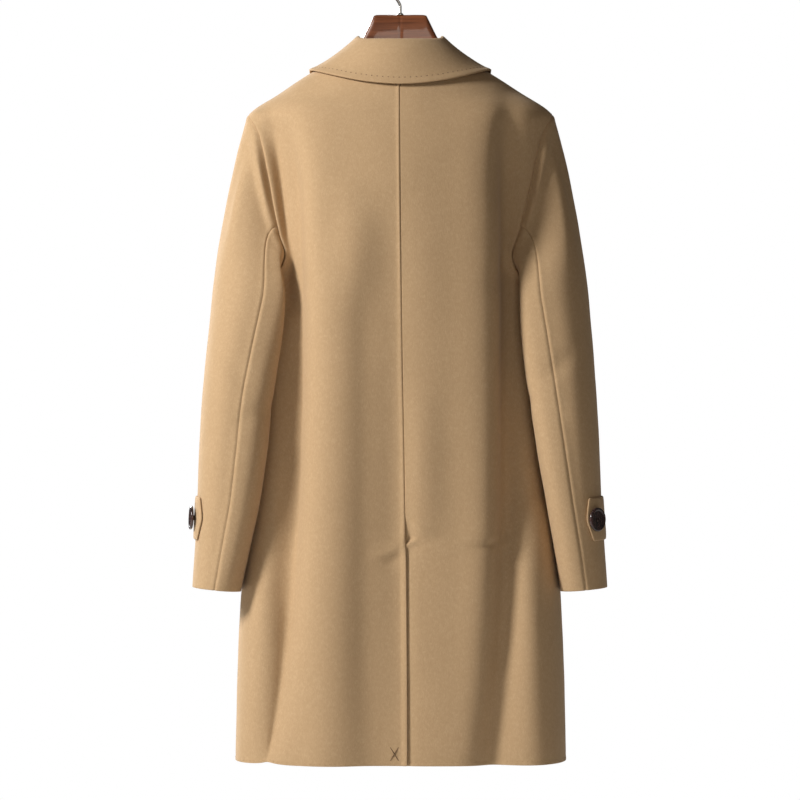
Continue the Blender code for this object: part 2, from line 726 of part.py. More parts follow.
def hook(finish):
    """The wire hook: a stem, a bend and most of a ring round the rail."""
    radius = HOOK_RADIUS + WIRE_RADIUS
    centre = Vector((0, 0, -HOOK_RADIUS))
    points = [Vector((0, 0, HANGER[0][1] + SEAM_GAP)), Vector((0, 0, STEM_TOP))]
    low = math.radians(HOOK_STEM_TURN)
    start = centre + Vector((math.cos(low), 0, math.sin(low))) * radius
    climb = Vector((-math.sin(low), 0, math.cos(low))) * radius
    bend = [hermite(points[1], Vector((0, 0, radius)), start, -climb, k / 5) for k in range(1, 5)]
    turns = [blend(HOOK_STEM_TURN, HOOK_TIP_TURN, k / HOOK_STEPS) for k in range(HOOK_STEPS + 1)]
    ring = [centre + Vector((math.cos(math.radians(t)), 0, math.sin(math.radians(t)))) * radius for t in turns]
    points += bend + ring
    curve = bpy.data.curves.new("hanger_hook", "CURVE")
    curve.dimensions = "3D"
    curve.bevel_depth = WIRE_RADIUS
    curve.bevel_resolution = 2
    curve.use_fill_caps = True
    spline = curve.splines.new("POLY")
    spline.points.add(len(points) - 1)
    for target, point in zip(spline.points, points):
        target.co = (*point, 1)
    curve.materials.append(finish)
    return add_object("hanger_hook", curve)


for leftover in list(bpy.data.objects):
    bpy.data.objects.remove(leftover, do_unlink=True)
COLLECTION = bpy.data.collections.new("overcoat_on_hanger")
bpy.context.scene.collection.children.link(COLLECTION)

wool = material("camel_wool", (0.46, 0.28, 0.14), 0.9)
horn = material("dark_horn", (0.030, 0.014, 0.012), 0.25, coat=0.4)
wood = material("brown_wood", (0.22, 0.075, 0.028), 0.3, coat=0.8)
steel = material("bright_steel", (0.62, 0.61, 0.60), 0.2, metallic=1.0)

for side in (LEFT, RIGHT):
    for face in (BACK, FRONT):
        body_panel(side, face, wool)
    for part in ("upper", "under"):
        sleeve_panel(side, part, wool)
    sleeve_tab(side, wool)
    place = TAB_TIP[side] - TAB_BUTTON_BACK[side]
    point, normal = sleeve_chord(side, place, along_at((TAB_TOP + TAB_FOOT) / 2))
    point += normal * (TAB_GAP + TAB_WALL)
    button(f"tab_button_{'left' if side == LEFT else 'right'}", point, normal, horn)
collar(wool)
for number, height in enumerate(FRONT_BUTTONS, start=1):
    button(f"front_button_{number}", body_point(-90, height), body_normal(-90, height), horn)
hanger(wood)
hook(steel)
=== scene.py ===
"""The finish of an overcoat on a wooden hanger: cloth, seams, stitches, buttons, wood and wire.

Metres, +Z up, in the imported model's frame. The coat faces -Y and its wearer's left is +X, so the
camera looks at its back from +Y. A turn of 0 degrees is the wearer's left side, 90 the centre back.
"""

import math

import bmesh
import bpy
from mathutils import Matrix, Vector, noise


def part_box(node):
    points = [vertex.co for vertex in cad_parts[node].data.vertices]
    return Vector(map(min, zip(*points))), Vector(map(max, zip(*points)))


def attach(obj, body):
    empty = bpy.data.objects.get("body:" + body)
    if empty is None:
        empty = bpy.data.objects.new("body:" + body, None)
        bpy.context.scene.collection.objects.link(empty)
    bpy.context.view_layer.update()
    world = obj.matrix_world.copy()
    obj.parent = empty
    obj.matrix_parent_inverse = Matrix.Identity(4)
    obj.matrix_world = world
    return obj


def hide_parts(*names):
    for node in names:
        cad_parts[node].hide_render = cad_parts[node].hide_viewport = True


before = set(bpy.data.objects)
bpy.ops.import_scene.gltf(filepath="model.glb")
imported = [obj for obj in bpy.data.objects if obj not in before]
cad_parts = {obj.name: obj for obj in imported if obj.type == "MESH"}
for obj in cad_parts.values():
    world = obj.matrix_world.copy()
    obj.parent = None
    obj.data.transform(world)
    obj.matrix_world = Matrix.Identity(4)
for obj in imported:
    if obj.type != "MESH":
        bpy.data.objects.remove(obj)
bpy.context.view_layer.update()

BACK, FRONT = 1, -1
LEFT, RIGHT = 1, -1
FACE_WORD = {BACK: "back", FRONT: "front"}
SIDE_WORD = {LEFT: "left", RIGHT: "right"}

# Cloth. A seam's gap below 0 is an overlap, which lets no light through.
WALL = 0.0026
COLLAR_WALL = 0.0028
LAYER_GAP = 0.0012
LAYER_DROP = WALL + LAYER_GAP
SEAM_GAP = -0.0003
ARMHOLE_GAP = -0.0010
RAIL_GAP = 0.0003

# Body sections: height, half width, depth behind, depth before, squareness
BODY = (
    (-0.121, 0.0720, 0.0560, 0.0600, 1.90),
    (-0.150, 0.1250, 0.0730, 0.0710, 1.90),
    (-0.178, 0.1680, 0.0840, 0.0800, 1.95),
    (-0.207, 0.2115, 0.0940, 0.0880, 2.00),
    (-0.240, 0.2070, 0.1030, 0.0960, 2.05),
    (-0.290, 0.1990, 0.1100, 0.1040, 2.10),
    (-0.350, 0.1930, 0.1150, 0.1100, 2.15),
    (-0.450, 0.1900, 0.1170, 0.1130, 2.20),
    (-0.600, 0.1970, 0.1160, 0.1120, 2.30),
    (-0.750, 0.2100, 0.1160, 0.1130, 2.60),
    (-0.890, 0.2225, 0.1200, 0.1170, 3.00),
    (-1.107, 0.2290, 0.1260, 0.1230, 3.20),
)
HEM = -1.107

# Hanging folds: x at the top, middle and foot, top, foot, half breadth, depth inwards
FOLDS = {
    BACK: (
        (0.166, 0.146, 0.205, -0.19, -1.20, 0.020, 0.024),
        (-0.148, -0.150, -0.085, -0.19, -1.40, 0.022, 0.020),
        (-0.166, -0.176, -0.200, -0.74, -1.35, 0.020, -0.010),
        (0.098, 0.092, 0.122, -0.36, -1.30, 0.030, -0.007),
        (0.055, 0.052, 0.024, -0.40, -1.30, 0.026, 0.007),
        (-0.030, -0.032, -0.038, -0.55, -1.30, 0.024, -0.004),
    ),
    FRONT: (
        (0.150, 0.140, 0.165, -0.24, -1.15, 0.024, 0.012),
        (-0.148, -0.150, -0.160, -0.24, -1.20, 0.024, 0.012),
        (0.075, 0.085, 0.100, -0.45, -1.30, 0.030, -0.006),
        (-0.095, -0.090, -0.110, -0.50, -1.30, 0.028, -0.006),
    ),
}
FOLD_FADE = 0.13
SIDE_CALM = 0.040

# Neck line and shoulders
NECK_HALF_WIDTH = 0.072
NECK_SIDE = -0.121
NECK_BACK = -0.141
NECK_FRONT = -0.213
NECK_BACK_CURVE = 1.6
NECK_FRONT_CURVE = 1.15
SHOULDER_BACK = -0.203
SHOULDER_FRONT = -0.246
ROW_DIP = 0.6

# Centre-back seam and vent, front lap
SEAM_FOOT_X = -0.0090
VENT_TOP = -0.800
VENT_LAP = 0.032
VENT_SLOPE = 0.012
VENT_EASE = 0.045
LAP_EASE = 0.038
LAP_LEVEL = 0.022
FRONT_LAP = 0.020

# Armhole, from the shoulder round the back: turn, height
ARMHOLE = (
    (-4.0, -0.2070),
    (14.5, -0.2190),
    (20.0, -0.2500),
    (21.5, -0.2900),
    (23.5, -0.3300),
    (27.5, -0.3750),
    (31.0, -0.4100),
    (22.0, -0.4400),
    (0.0, -0.4520),
    (-20.0, -0.4420),
    (-27.0, -0.4120),
    (-26.0, -0.3700),
    (-23.0, -0.3200),
    (-22.0, -0.2700),
    (-17.0, -0.2220),
)
ARM_TURN = len(ARMHOLE)
ARM_FOOT = 8.0
SEAM_PLACE = {BACK: 4.8, FRONT: -4.2}

# Angle at which the sleeve leaves the body's surface: place round the armhole, degrees
SLEEVE_LIFT = (
    (0.0, 0.0),
    (1.0, 8.0),
    (2.0, 20.0),
    (3.0, 26.0),
    (4.0, 30.0),
    (4.8, 38.0),
    (5.6, 60.0),
    (6.4, 90.0),
    (7.2, 120.0),
    (8.0, 145.0),
    (8.7, 130.0),
    (9.4, 98.0),
    (10.1, 66.0),
    (10.8, 44.0),
    (11.5, 31.0),
    (13.0, 20.0),
    (14.0, 8.0),
    (15.0, 0.0),
)

# Sleeve sections: height, outer x, inner x, centre y, half depth, angle of the hind-arm seam
SLEEVES = {
    LEFT: (
        (-0.470, 0.2640, 0.1300, 0.003, 0.0840, 96.0),
        (-0.540, 0.2700, 0.1540, 0.016, 0.0820, 97.0),
        (-0.607, 0.2760, 0.1700, 0.026, 0.0800, 96.0),
        (-0.680, 0.2800, 0.1780, 0.033, 0.0760, 94.0),
        (-0.747, 0.2825, 0.1880, 0.034, 0.0720, 92.0),
        (-0.810, 0.2855, 0.2020, 0.034, 0.0660, 88.0),
        (-0.866, 0.2885, 0.2150, 0.034, 0.0600, 85.0),
    ),
    RIGHT: (
        (-0.470, 0.2640, 0.1460, 0.006, 0.0810, 100.0),
        (-0.540, 0.2690, 0.1600, 0.016, 0.0800, 99.0),
        (-0.607, 0.2733, 0.1730, 0.026, 0.0790, 98.0),
        (-0.680, 0.2775, 0.1850, 0.033, 0.0750, 95.0),
        (-0.747, 0.2800, 0.1970, 0.034, 0.0710, 92.0),
        (-0.810, 0.2840, 0.2080, 0.034, 0.0660, 88.0),
        (-0.866, 0.2880, 0.2160, 0.034, 0.0600, 85.0),
    ),
}
SLEEVE_SQUARENESS = 2.3
FOREARM_ANGLE = 245.0
UNDERARM_GAP = 0.0020
SLEEVE_CLEAR = 0.0045
SLEEVE_SOFT = 0.0050
CAP_FOOT = -0.470
CAP_EASE = (0.32, 0.90)
CUFF = -0.866
CUFF_SLANT = 0.08

# Sleeve tabs
TAB_TOP = -0.740
TAB_FOOT = -0.800
TAB_WALL = 0.0024
TAB_GAP = 0.0005
TAB_LIFT = 0.0004
TAB_START = 0.05
TAB_POINT = 0.5
TAB_POINT_CURVE = 1.15
TAB_ROUND_DEPTH = 0.0004
TAB_ROUND_BREADTH = 0.002
TAB_ROWS = 12
TAB_COLUMNS = 48
TAB_TIP = {LEFT: 2.38, RIGHT: 3.75}
TAB_BUTTON_BACK = {LEFT: 1.40, RIGHT: 0.85}

# Collar: lean and rise of the fold line from the neck line, and the fall's edge
ROLL_RADIUS = 0.0028
ROLL_SIDE = (-0.0128, 0.0232)
ROLL_MIDDLE = {BACK: (-0.0100, 0.0335), FRONT: (-0.0060, 0.0410)}
FALL_SIDE_X = 0.125
FALL_SIDE = -0.150
FALL_BACK = -0.1738
FALL_BACK_POWER = 1.9
COLLAR_POINT_X = 0.050
COLLAR_POINT = -0.280
COLLAR_END = 0.003
COLLAR_SEAT = 0.0016
COLLAR_STAND_OFF = 0.0006

# Buttons, on their shanks of thread
BUTTON_RADIUS = 0.0165
BUTTON_THICKNESS = 0.0046
SHANK_HEIGHT = 0.0022
BUTTON_SEAT = 0.0005
FRONT_BUTTONS = (-0.300, -0.425, -0.550, -0.675)

# Rows of stitches: how far in from an edge, and spacing and size of the stitches that show
VENT_STITCH_IN = 0.0080
FRONT_STITCH_IN = 0.0075
TAB_STITCH_IN = 0.0065
HEM_STITCH_UP = 0.0062
HEM_STITCH = (0.0070, (0.0020, 0.0009, 0.0006))
PICK_FROM_EDGE = 0.0098
PICK = (0.0077, (0.0023, 0.0015, 0.0011))
STITCH_SINK = 0.0001

# Hanger: x, top, foot, half thickness
HANGER = (
    (0.0000, -0.0680, -0.1360, 0.0080),
    (0.0335, -0.0680, -0.1400, 0.0080),
    (0.0370, -0.0696, -0.1410, 0.0080),
    (0.0400, -0.0755, -0.1420, 0.0080),
    (0.0505, -0.0970, -0.1460, 0.0085),
    (0.0610, -0.1150, -0.1500, 0.0090),
    (0.0700, -0.1250, -0.1540, 0.0100),
    (0.0850, -0.1335, -0.1610, 0.0120),
    (0.1050, -0.1445, -0.1720, 0.0145),
    (0.1250, -0.1562, -0.1850, 0.0160),
    (0.1500, -0.1724, -0.2000, 0.0165),
    (0.1750, -0.1890, -0.2160, 0.0165),
    (0.1930, -0.2012, -0.2270, 0.0150),
    (0.2000, -0.2080, -0.2260, 0.0110),
)
HANGER_SQUARENESS = 2.6

# Hook, and its ferrule on the hanger: distance from the wire's middle, height over the wood
WIRE_RADIUS = 0.0019
HOOK_RADIUS = 0.0200
HOOK_TIP_TURN = 205.0
HOOK_STEM_TURN = -35.0
STEM_TOP = -0.056
FERRULE = (
    (WIRE_RADIUS, 0.0),
    (0.0044, 0.0),
    (0.0044, 0.0010),
    (0.0036, 0.0019),
    (0.0024, 0.0026),
    (WIRE_RADIUS, 0.0026),
    (WIRE_RADIUS, 0.0),
)

# Rows down a body panel: neck to shoulder tip, armhole, skirt above the vent's top, skirt below it.
# Each row of the last table says how many finer rows lie between two of them.
SHOULDER_ROWS = 4
ARM_STEPS = 10
UPPER_SKIRT_ROWS = 6
LOWER_SKIRT_ROWS = 5
ARM_LAST = SHOULDER_ROWS + ARM_STEPS
VENT_ROW = ARM_LAST + UPPER_SKIRT_ROWS
LAST_ROW = VENT_ROW + 1 + LOWER_SKIRT_ROWS
FINE_ROWS = (
    (0, SHOULDER_ROWS, 26),
    (SHOULDER_ROWS, ARM_LAST, 40),
    (ARM_LAST, VENT_ROW, 44),
    (VENT_ROW + 1, LAST_ROW, 38),
)

# Creases the hanging cloth has besides its folds, as soft troughs (depth) or ridges (less than 0):
# start x, start height, end x, end height, half breadth, depth and, on a bowed one, bow sideways
CREASES = {
    BACK: (
        (0.112, -0.190, 0.108, -1.200, 0.0340, -0.0060),
        (0.128, -0.190, 0.122, -1.150, 0.0260, -0.0030),
        (-0.127, -0.190, -0.124, -1.050, 0.0150, -0.0040),
        (-0.108, -0.190, -0.112, -1.200, 0.0300, -0.0070),
        (0.070, -0.300, 0.074, -1.200, 0.0240, -0.0065),
        (0.054, -0.340, 0.036, -1.250, 0.0260, -0.0060),
        (0.014, -0.320, 0.002, -1.200, 0.0300, 0.0060),
        (0.172, -0.880, 0.182, -1.350, 0.0200, -0.0100),
        (0.164, -0.170, 0.158, -0.960, 0.0160, 0.0050),
        (0.186, -0.190, 0.152, -0.490, 0.0130, 0.0140),
        (-0.150, -0.170, -0.144, -0.980, 0.0160, 0.0070),
        (0.190, -0.850, 0.206, -1.400, 0.0260, -0.0050),
        (-0.196, -0.740, -0.206, -1.400, 0.0220, -0.0100),
        (0.036, -0.823, -0.006, -0.802, 0.0052, -0.0036, 0.003),
        (0.030, -0.832, -0.002, -0.816, 0.0050, 0.0022, 0.003),
        (-0.009, -0.792, -0.018, -0.812, 0.0060, 0.0040),
        (-0.016, -0.776, -0.044, -0.790, 0.0070, -0.0032, 0.002),
        (-0.012, -0.815, -0.020, -0.990, 0.0100, -0.0012),
        (0.195, -0.215, 0.170, -0.300, 0.0090, 0.0016, 0.006),
        (-0.196, -0.225, -0.186, -0.330, 0.0080, -0.0022, -0.004),
        (-0.160, -0.400, -0.120, -0.455, 0.0110, 0.0014, 0.004),
        (0.155, -0.410, 0.110, -0.470, 0.0120, 0.0012, -0.004),
        (0.020, -0.185, 0.120, -0.205, 0.0120, 0.0008, 0.006),
        (-0.030, -0.188, -0.130, -0.210, 0.0130, 0.0008, 0.004),
    ),
    FRONT: (
        (0.175, -0.240, 0.120, -0.330, 0.0110, 0.0018, 0.006),
        (-0.180, -0.240, -0.130, -0.340, 0.0110, 0.0018, -0.006),
        (0.150, -0.420, 0.080, -0.500, 0.0120, 0.0014, 0.006),
        (-0.150, -0.425, -0.095, -0.505, 0.0120, 0.0014, -0.005),
        (0.012, -0.685, 0.060, -0.760, 0.0120, 0.0014, 0.004),
        (-0.035, -0.690, -0.070, -0.790, 0.0130, 0.0012, 0.004),
    ),
}

# Creases of the sleeves: start place, start height, end place, end height, half breadth, depth.
# A place is the number round the armhole that the sleeve's column starts from.
SLEEVE_CREASES = {
    LEFT: (
        (6.1, -0.430, 5.6, -0.880, 0.024, -0.0080),
        (3.2, -0.560, 6.2, -0.600, 0.012, 0.0022),
        (4.4, -0.640, 7.0, -0.610, 0.010, 0.0018),
        (11.8, -0.590, 9.0, -0.640, 0.012, 0.0022),
        (12.6, -0.640, 10.0, -0.690, 0.012, 0.0018),
        (1.6, -0.270, 2.6, -0.420, 0.014, -0.0014),
    ),
    RIGHT: (
        (6.1, -0.430, 5.6, -0.880, 0.024, -0.0080),
        (3.0, -0.540, 6.0, -0.585, 0.012, 0.0024),
        (4.2, -0.630, 7.2, -0.600, 0.011, 0.0018),
        (11.6, -0.570, 9.2, -0.630, 0.012, 0.0022),
        (12.8, -0.650, 10.2, -0.680, 0.012, 0.0018),
        (1.8, -0.260, 2.9, -0.430, 0.014, -0.0016),
    ),
}


def blend(a, b, share):
    return a + (b - a) * share


def ease(low, high, value):
    f = min(max((value - low) / (high - low), 0.0), 1.0)
    return f * f * (3 - 2 * f)


def bell(value, middle, breadth):
    """1 at the middle, and next to nothing two breadths from it."""
    return math.exp(-(((value - middle) / breadth) ** 2))


def rounded_reach(c, s, squareness):
    """How far a rounded square of half size 1 reaches in the direction (c, s)."""
    return (abs(c) ** squareness + abs(s) ** squareness) ** (-1 / squareness)


def hermite(start, start_slope, end, end_slope, f):
    return (
        start * ((1 + 2 * f) * (1 - f) ** 2)
        + start_slope * (f * (1 - f) ** 2)
        + end * (f * f * (3 - 2 * f))
        + end_slope * (f * f * (f - 1))
    )


def smooth_value(rows, at, column):
    """One column of a table as a smooth curve over its first column."""
    rows = rows if rows[0][0] < rows[-1][0] else rows[::-1]
    last = len(rows) - 1
    at = min(max(at, rows[0][0]), rows[-1][0])
    k = max(i for i in range(last) if rows[i][0] <= at)
    slopes = []
    for i in (k, k + 1):
        low, high = rows[max(i - 1, 0)], rows[min(i + 1, last)]
        slopes.append((high[column] - low[column]) / (high[0] - low[0]))
    step = rows[k + 1][0] - rows[k][0]
    f = (at - rows[k][0]) / step
    return hermite(rows[k][column], slopes[0] * step, rows[k + 1][column], slopes[1] * step, f)


# ---------------------------------------------------------------- the form of the hanging coat


def sections(height, face):
    """Half width, depth and squareness of the body at a height."""
    return tuple(smooth_value(BODY, height, column) for column in (1, 2 if face == BACK else 3, 4))


def fold_depth(x, height, face):
    total = 0.0
    for top_x, middle_x, foot_x, top, foot, breadth, depth in FOLDS[face]:
        if not foot < height < top:
            continue
        s = (top - height) / (top - foot)
        centre = top_x * (1 - s) * (1 - 2 * s) + 4 * middle_x * s * (1 - s) + foot_x * s * (2 * s - 1)
        fade = ease(0, FOLD_FADE, top - height) * ease(0, FOLD_FADE, height - foot)
        total += depth * fade * bell(x, centre, breadth)
    return total


def body_point(turn, height):
    """A point of the coat's outside."""
    c, s = math.cos(math.radians(turn)), math.sin(math.radians(turn))
    face = BACK if s >= 0 else FRONT
    a, b, n = sections(height, face)
    k = rounded_reach(c, s, n)
    x, y = a * k * c, b * k * s
    out = [math.copysign(abs(k * way) ** (n - 1) / half, way) for way, half in ((c, a), (s, b))]
    fold = fold_depth(x, height, face) * ease(0, SIDE_CALM, abs(y))
    return Vector((x, y, height)) - Vector((*out, 0)).normalized() * fold


def body_normal(turn, height):
    around = body_point(turn + 0.6, height) - body_point(turn - 0.6, height)
    up = body_point(turn, height + 0.0015) - body_point(turn, height - 0.0015)
    return around.cross(up).normalized()


def turn_at(x, height, face):
    """The turn at which the body, without its folds, is at x."""
    a, _, n = sections(height, face)
    q = min(max(x / a, -1.0), 1.0)
    return face * math.degrees(math.atan2((1 - abs(q) ** n) ** (1 / n), q))


def on_side(side, turn):
    """A turn worked out for the wearer's left, as it is on either side."""
    return turn if side == LEFT else 180 - turn


def on_body(x, height, face, lift=0.0, side=LEFT):
    """A place over the coat's outside and its normal; x is as on the wearer's left."""
    turn = on_side(side, turn_at(x, height, face))
    normal = body_normal(turn, height)
    return body_point(turn, height) + normal * lift, normal


def seam_x(height):
    return SEAM_FOOT_X * ease(NECK_BACK, HEM, height)


def armhole(place):
    """Turn and height of a place round the wearer's left armhole."""
    k = math.floor(place)
    before, start, end, after = (ARMHOLE[(k + i) % ARM_TURN] for i in (-1, 0, 1, 2))
    return tuple(
        hermite(start[i], (end[i] - before[i]) / 2, end[i], (after[i] - start[i]) / 2, place - k)
        for i in (0, 1)
    )


def arm_place(step, face):
    """Where the body's rows and the sleeve's columns meet, from the shoulder to the underarm."""
    return (ARM_FOOT if face == BACK else ARM_FOOT - ARM_TURN) * step / ARM_STEPS


def outer_edge(face, row):
    """Turn and height of a panel's shoulder seam, armhole and side seam."""
    top_turn, top = ARMHOLE[0]
    _, foot = ARMHOLE[int(ARM_FOOT)]
    if row < SHOULDER_ROWS:
        share = row / SHOULDER_ROWS
        turn, height = top_turn * share, blend(NECK_SIDE, top, share)
    elif row <= ARM_LAST:
        turn, height = armhole(arm_place(row - SHOULDER_ROWS, face))
    elif row <= VENT_ROW:
        turn, height = 0.0, blend(foot, VENT_TOP, (row - ARM_LAST) / UPPER_SKIRT_ROWS)
    else:
        turn, height = 0.0, blend(VENT_TOP - VENT_SLOPE, HEM, (row - VENT_ROW - 1) / LOWER_SKIRT_ROWS)
    if not SHOULDER_ROWS < row < ARM_LAST:
        turn += face * math.degrees(SEAM_GAP / 2 / sections(height, face)[1])
    return turn, height


def middle_height(face, row):
    top, shoulder = (NECK_BACK, SHOULDER_BACK) if face == BACK else (NECK_FRONT, SHOULDER_FRONT)
    if row <= SHOULDER_ROWS:
        return blend(top, shoulder, row / SHOULDER_ROWS)
    _, edge = outer_edge(face, row)
    if row >= ARM_LAST:
        return edge
    _, arm_top = ARMHOLE[0]
    _, arm_foot = ARMHOLE[int(ARM_FOOT)]
    return blend(shoulder, arm_foot, (edge - arm_top) / (arm_foot - arm_top))


def middle_reach(side, face, row):
    """How far from the centre the panel's middle edge lies, on its own side."""
    if face == FRONT:
        return 0.0
    reach = side * seam_x(middle_height(face, row)) + SEAM_GAP / 2
    return reach - VENT_LAP if side == RIGHT and row > VENT_ROW else reach


def neck_place(face, share, reach=0.0):
    """Turn and height of the neck line, from a shoulder (0) to the centre (1)."""
    if share == 0:
        return outer_edge(face, 0)
    angle = math.radians(90 * share)
    if face == BACK:
        height = NECK_BACK + (NECK_SIDE - NECK_BACK) * (1 - share) ** NECK_BACK_CURVE
    else:
        height = NECK_FRONT + (NECK_SIDE - NECK_FRONT) * (1 - math.sin(angle)) ** NECK_FRONT_CURVE
    return turn_at(blend(reach, NECK_HALF_WIDTH, math.cos(angle)), height, face), height


def panel_place(side, face, row, share):
    """Turn and height in a panel: share is 0 at its outer edge, 1 at the centre, more in a front lap."""
    edge_turn, edge_height = outer_edge(face, row)
    middle = middle_height(face, row)
    reach = middle_reach(side, face, row)
    if share > 1:
        return on_side(side, turn_at(-FRONT_LAP * (share - 1), middle, face)), middle
    turn = blend(edge_turn, turn_at(reach, middle, face), share)
    power = 1 + ROW_DIP * max(0.0, 1 - row / ARM_LAST)
    height = middle + (edge_height - middle) * (1 - share) ** power
    if row < SHOULDER_ROWS:
        neck_turn, neck_height = neck_place(face, share, reach)
        turn = blend(neck_turn, turn, row / SHOULDER_ROWS)
        height = blend(neck_height, height, row / SHOULDER_ROWS)
    return on_side(side, turn), height


def lap_sink(side, face, x, height):
    """How far a panel is moved in where its fellow lies over it."""
    if side == LEFT:
        return 0.0
    if face == FRONT:
        level = -FRONT_LAP - LAP_LEVEL
        return LAYER_DROP * ease(level - LAP_EASE, level, x)
    level = seam_x(height) - LAP_LEVEL
    return LAYER_DROP * ease(level - LAP_EASE, level, x) * ease(-VENT_TOP - VENT_EASE, -VENT_TOP, -height)


def ring_point(side, place, height):
    """A point of a sleeve's level section, kept clear of the body."""
    outer, inner, centre_y, depth, hind_angle = (smooth_value(SLEEVES[side], height, c) for c in range(1, 6))
    corners = (
        (0.0, 0.0),
        (SEAM_PLACE[BACK], hind_angle),
        (ARM_FOOT, 180.0),
        (SEAM_PLACE[FRONT] + ARM_TURN, FOREARM_ANGLE),
        (float(ARM_TURN), 360.0),
    )
    place %= ARM_TURN
    k = max(i for i in range(len(corners) - 1) if corners[i][0] <= place)
    (low, low_angle), (high, high_angle) = corners[k], corners[k + 1]
    angle = math.radians(blend(low_angle, high_angle, (place - low) / (high - low)))
    c, s = math.cos(angle), math.sin(angle)
    k = rounded_reach(c, s, SLEEVE_SQUARENESS)
    x = (outer + inner) / 2 + (outer - inner) / 2 * k * c
    y = centre_y + depth * k * s
    a, b, n = sections(height, BACK if y >= 0 else FRONT)
    reach = math.hypot(x, y)
    body = reach / (abs(x / (a + SLEEVE_CLEAR)) ** n + abs(y / (b + SLEEVE_CLEAR)) ** n) ** (1 / n)
    clear = body + SLEEVE_SOFT * math.log1p(math.exp((reach - body) / SLEEVE_SOFT))
    slant = CUFF_SLANT * max(0.0, outer - x) * ease(CAP_FOOT, CUFF, height)
    return Vector((side * x * clear / reach, y * clear / reach, height - slant))


def sleeve_point(side, place, along):
    """A point of a sleeve: along is 0 at the armhole, 1 below the underarm and 2 at the cuff."""
    if along > 1:
        return ring_point(side, place, blend(CAP_FOOT, CUFF, along - 1))
    turn, height = armhole(place)
    turn = on_side(side, turn)
    start = body_point(turn, height)
    normal = body_normal(turn, height)
    (turn_0, height_0), (turn_1, height_1) = armhole(place - 0.05), armhole(place + 0.05)
    run = body_point(on_side(side, turn_1), height_1) - body_point(on_side(side, turn_0), height_0)
    away = run.cross(normal).normalized() * side
    lift = math.radians(smooth_value(SLEEVE_LIFT, place % ARM_TURN, 1))
    leave = away * math.cos(lift) + normal * math.sin(lift)
    gap = blend(ARMHOLE_GAP, UNDERARM_GAP, math.sin(lift / 2) ** 2)
    start += (away * math.cos(lift / 2) + normal * math.sin(lift / 2)) * gap
    end = ring_point(side, place, CAP_FOOT)
    fall = (ring_point(side, place, CAP_FOOT - 0.01) - end) / 0.01
    length = (end - start).length
    leave *= length * blend(*CAP_EASE, (1 - math.cos(math.tau * place / ARM_TURN)) / 2)
    return hermite(start, leave, end, fall * length, along)


def along_at(height):
    return 1 + (height - CAP_FOOT) / (CUFF - CAP_FOOT)


# ---------------------------------------------------------------- relief on the cloth

# Beside a seam the cloth dips into the stitching and swells over the turned edge inside. Beside the
# centre-back seam it does so more, because the turnings are pressed and stitched to the left.
SEAM_ROLL = ((0.0006, 0.0042, 0.0028), (-0.0007, 0, 0.0016))
TURNED_SEAM = ((0.0015, 0.0026, 0.0017), (-0.0010, 0, 0.0012))
UNDER_VENT = ((0.0020, 0.0100, 0.0070), (-0.0014, 0.0010, 0.0020))
VENT_TURNING = (0.0055, 0.0085)
VENT_RISE = 0.0008
GROOVE_DEPTH = 0.0005
GROOVE_BREADTH = 0.0014


def crease(at, start, end, breadth, depth, bow=0.0):
    """Depth at a place of a soft crease from start to end, which fades at both ends."""
    run = end - start
    f = min(max((at - start).dot(run) / run.length_squared, 0.0), 1.0)
    arch = 4 * f * (1 - f)
    line = start + run * f + Vector((-run.y, run.x)).normalized() * bow * arch
    return depth * math.sqrt(arch) * bell((at - line).length, 0, breadth)


def creases_at(at, rows):
    return sum(crease(at, Vector(row[:2]), Vector(row[2:4]), *row[4:]) for row in rows)


def ripple(point):
    """The slight unevenness of steamed, hanging wool."""
    return 0.0011 * noise.noise(point * 7.0) + 0.0004 * noise.noise(point * 24.0)


def swell(distance, rows):
    """Height of the cloth over its plain surface: rows of height, middle and breadth."""
    return sum(height * bell(distance, middle, breadth) for height, middle, breadth in rows)


def vent_edge(side, x, height, distance):
    """The upper layer's folded edge with its stitched turning, and the lower one's swell beside it."""
    if side == LEFT:
        return VENT_RISE * (1 - ease(*VENT_TURNING, distance)) + stitch_groove(distance, VENT_STITCH_IN)
    return swell(seam_x(height) - x, UNDER_VENT)


def stitch_groove(distance, place):
    """The furrow that a row of stitches pulls into the cloth."""
    return -GROOVE_DEPTH * bell(distance, place, GROOVE_BREADTH)


def facing(normal, way):
    """A normal turned to point roughly the given way."""
    return normal if normal.dot(Vector(way)) > 0 else -normal


def run_lengths(line):
    """How far each point of a line is from its start."""
    lengths = [0.0]
    for before, after in zip(line, line[1:]):
        lengths.append(lengths[-1] + (after - before).length)
    return lengths


def shaped(points, inside, relief):
    """A grid moved along its outward normals by relief(row, column, point, from its start, to its end)."""
    last_row, last_column = len(points) - 1, len(points[0]) - 1
    normals = []
    for i, row in enumerate(points):
        normals.append([])
        for j in range(last_column + 1):
            across = row[min(j + 1, last_column)] - row[max(j - 1, 0)]
            down = points[min(i + 1, last_row)][j] - points[max(i - 1, 0)][j]
            normals[-1].append(across.cross(down).normalized())
    i, j = last_row // 2, last_column // 2
    turn = math.copysign(1, normals[i][j].dot(points[i][j] - inside))
    made = []
    for i, row in enumerate(points):
        lengths = run_lengths(row)
        made.append([
            point + normals[i][j] * turn * relief(i, j, point, lengths[j], lengths[-1] - lengths[j])
            for j, point in enumerate(row)
        ])
    return made


# ---------------------------------------------------------------- finishes


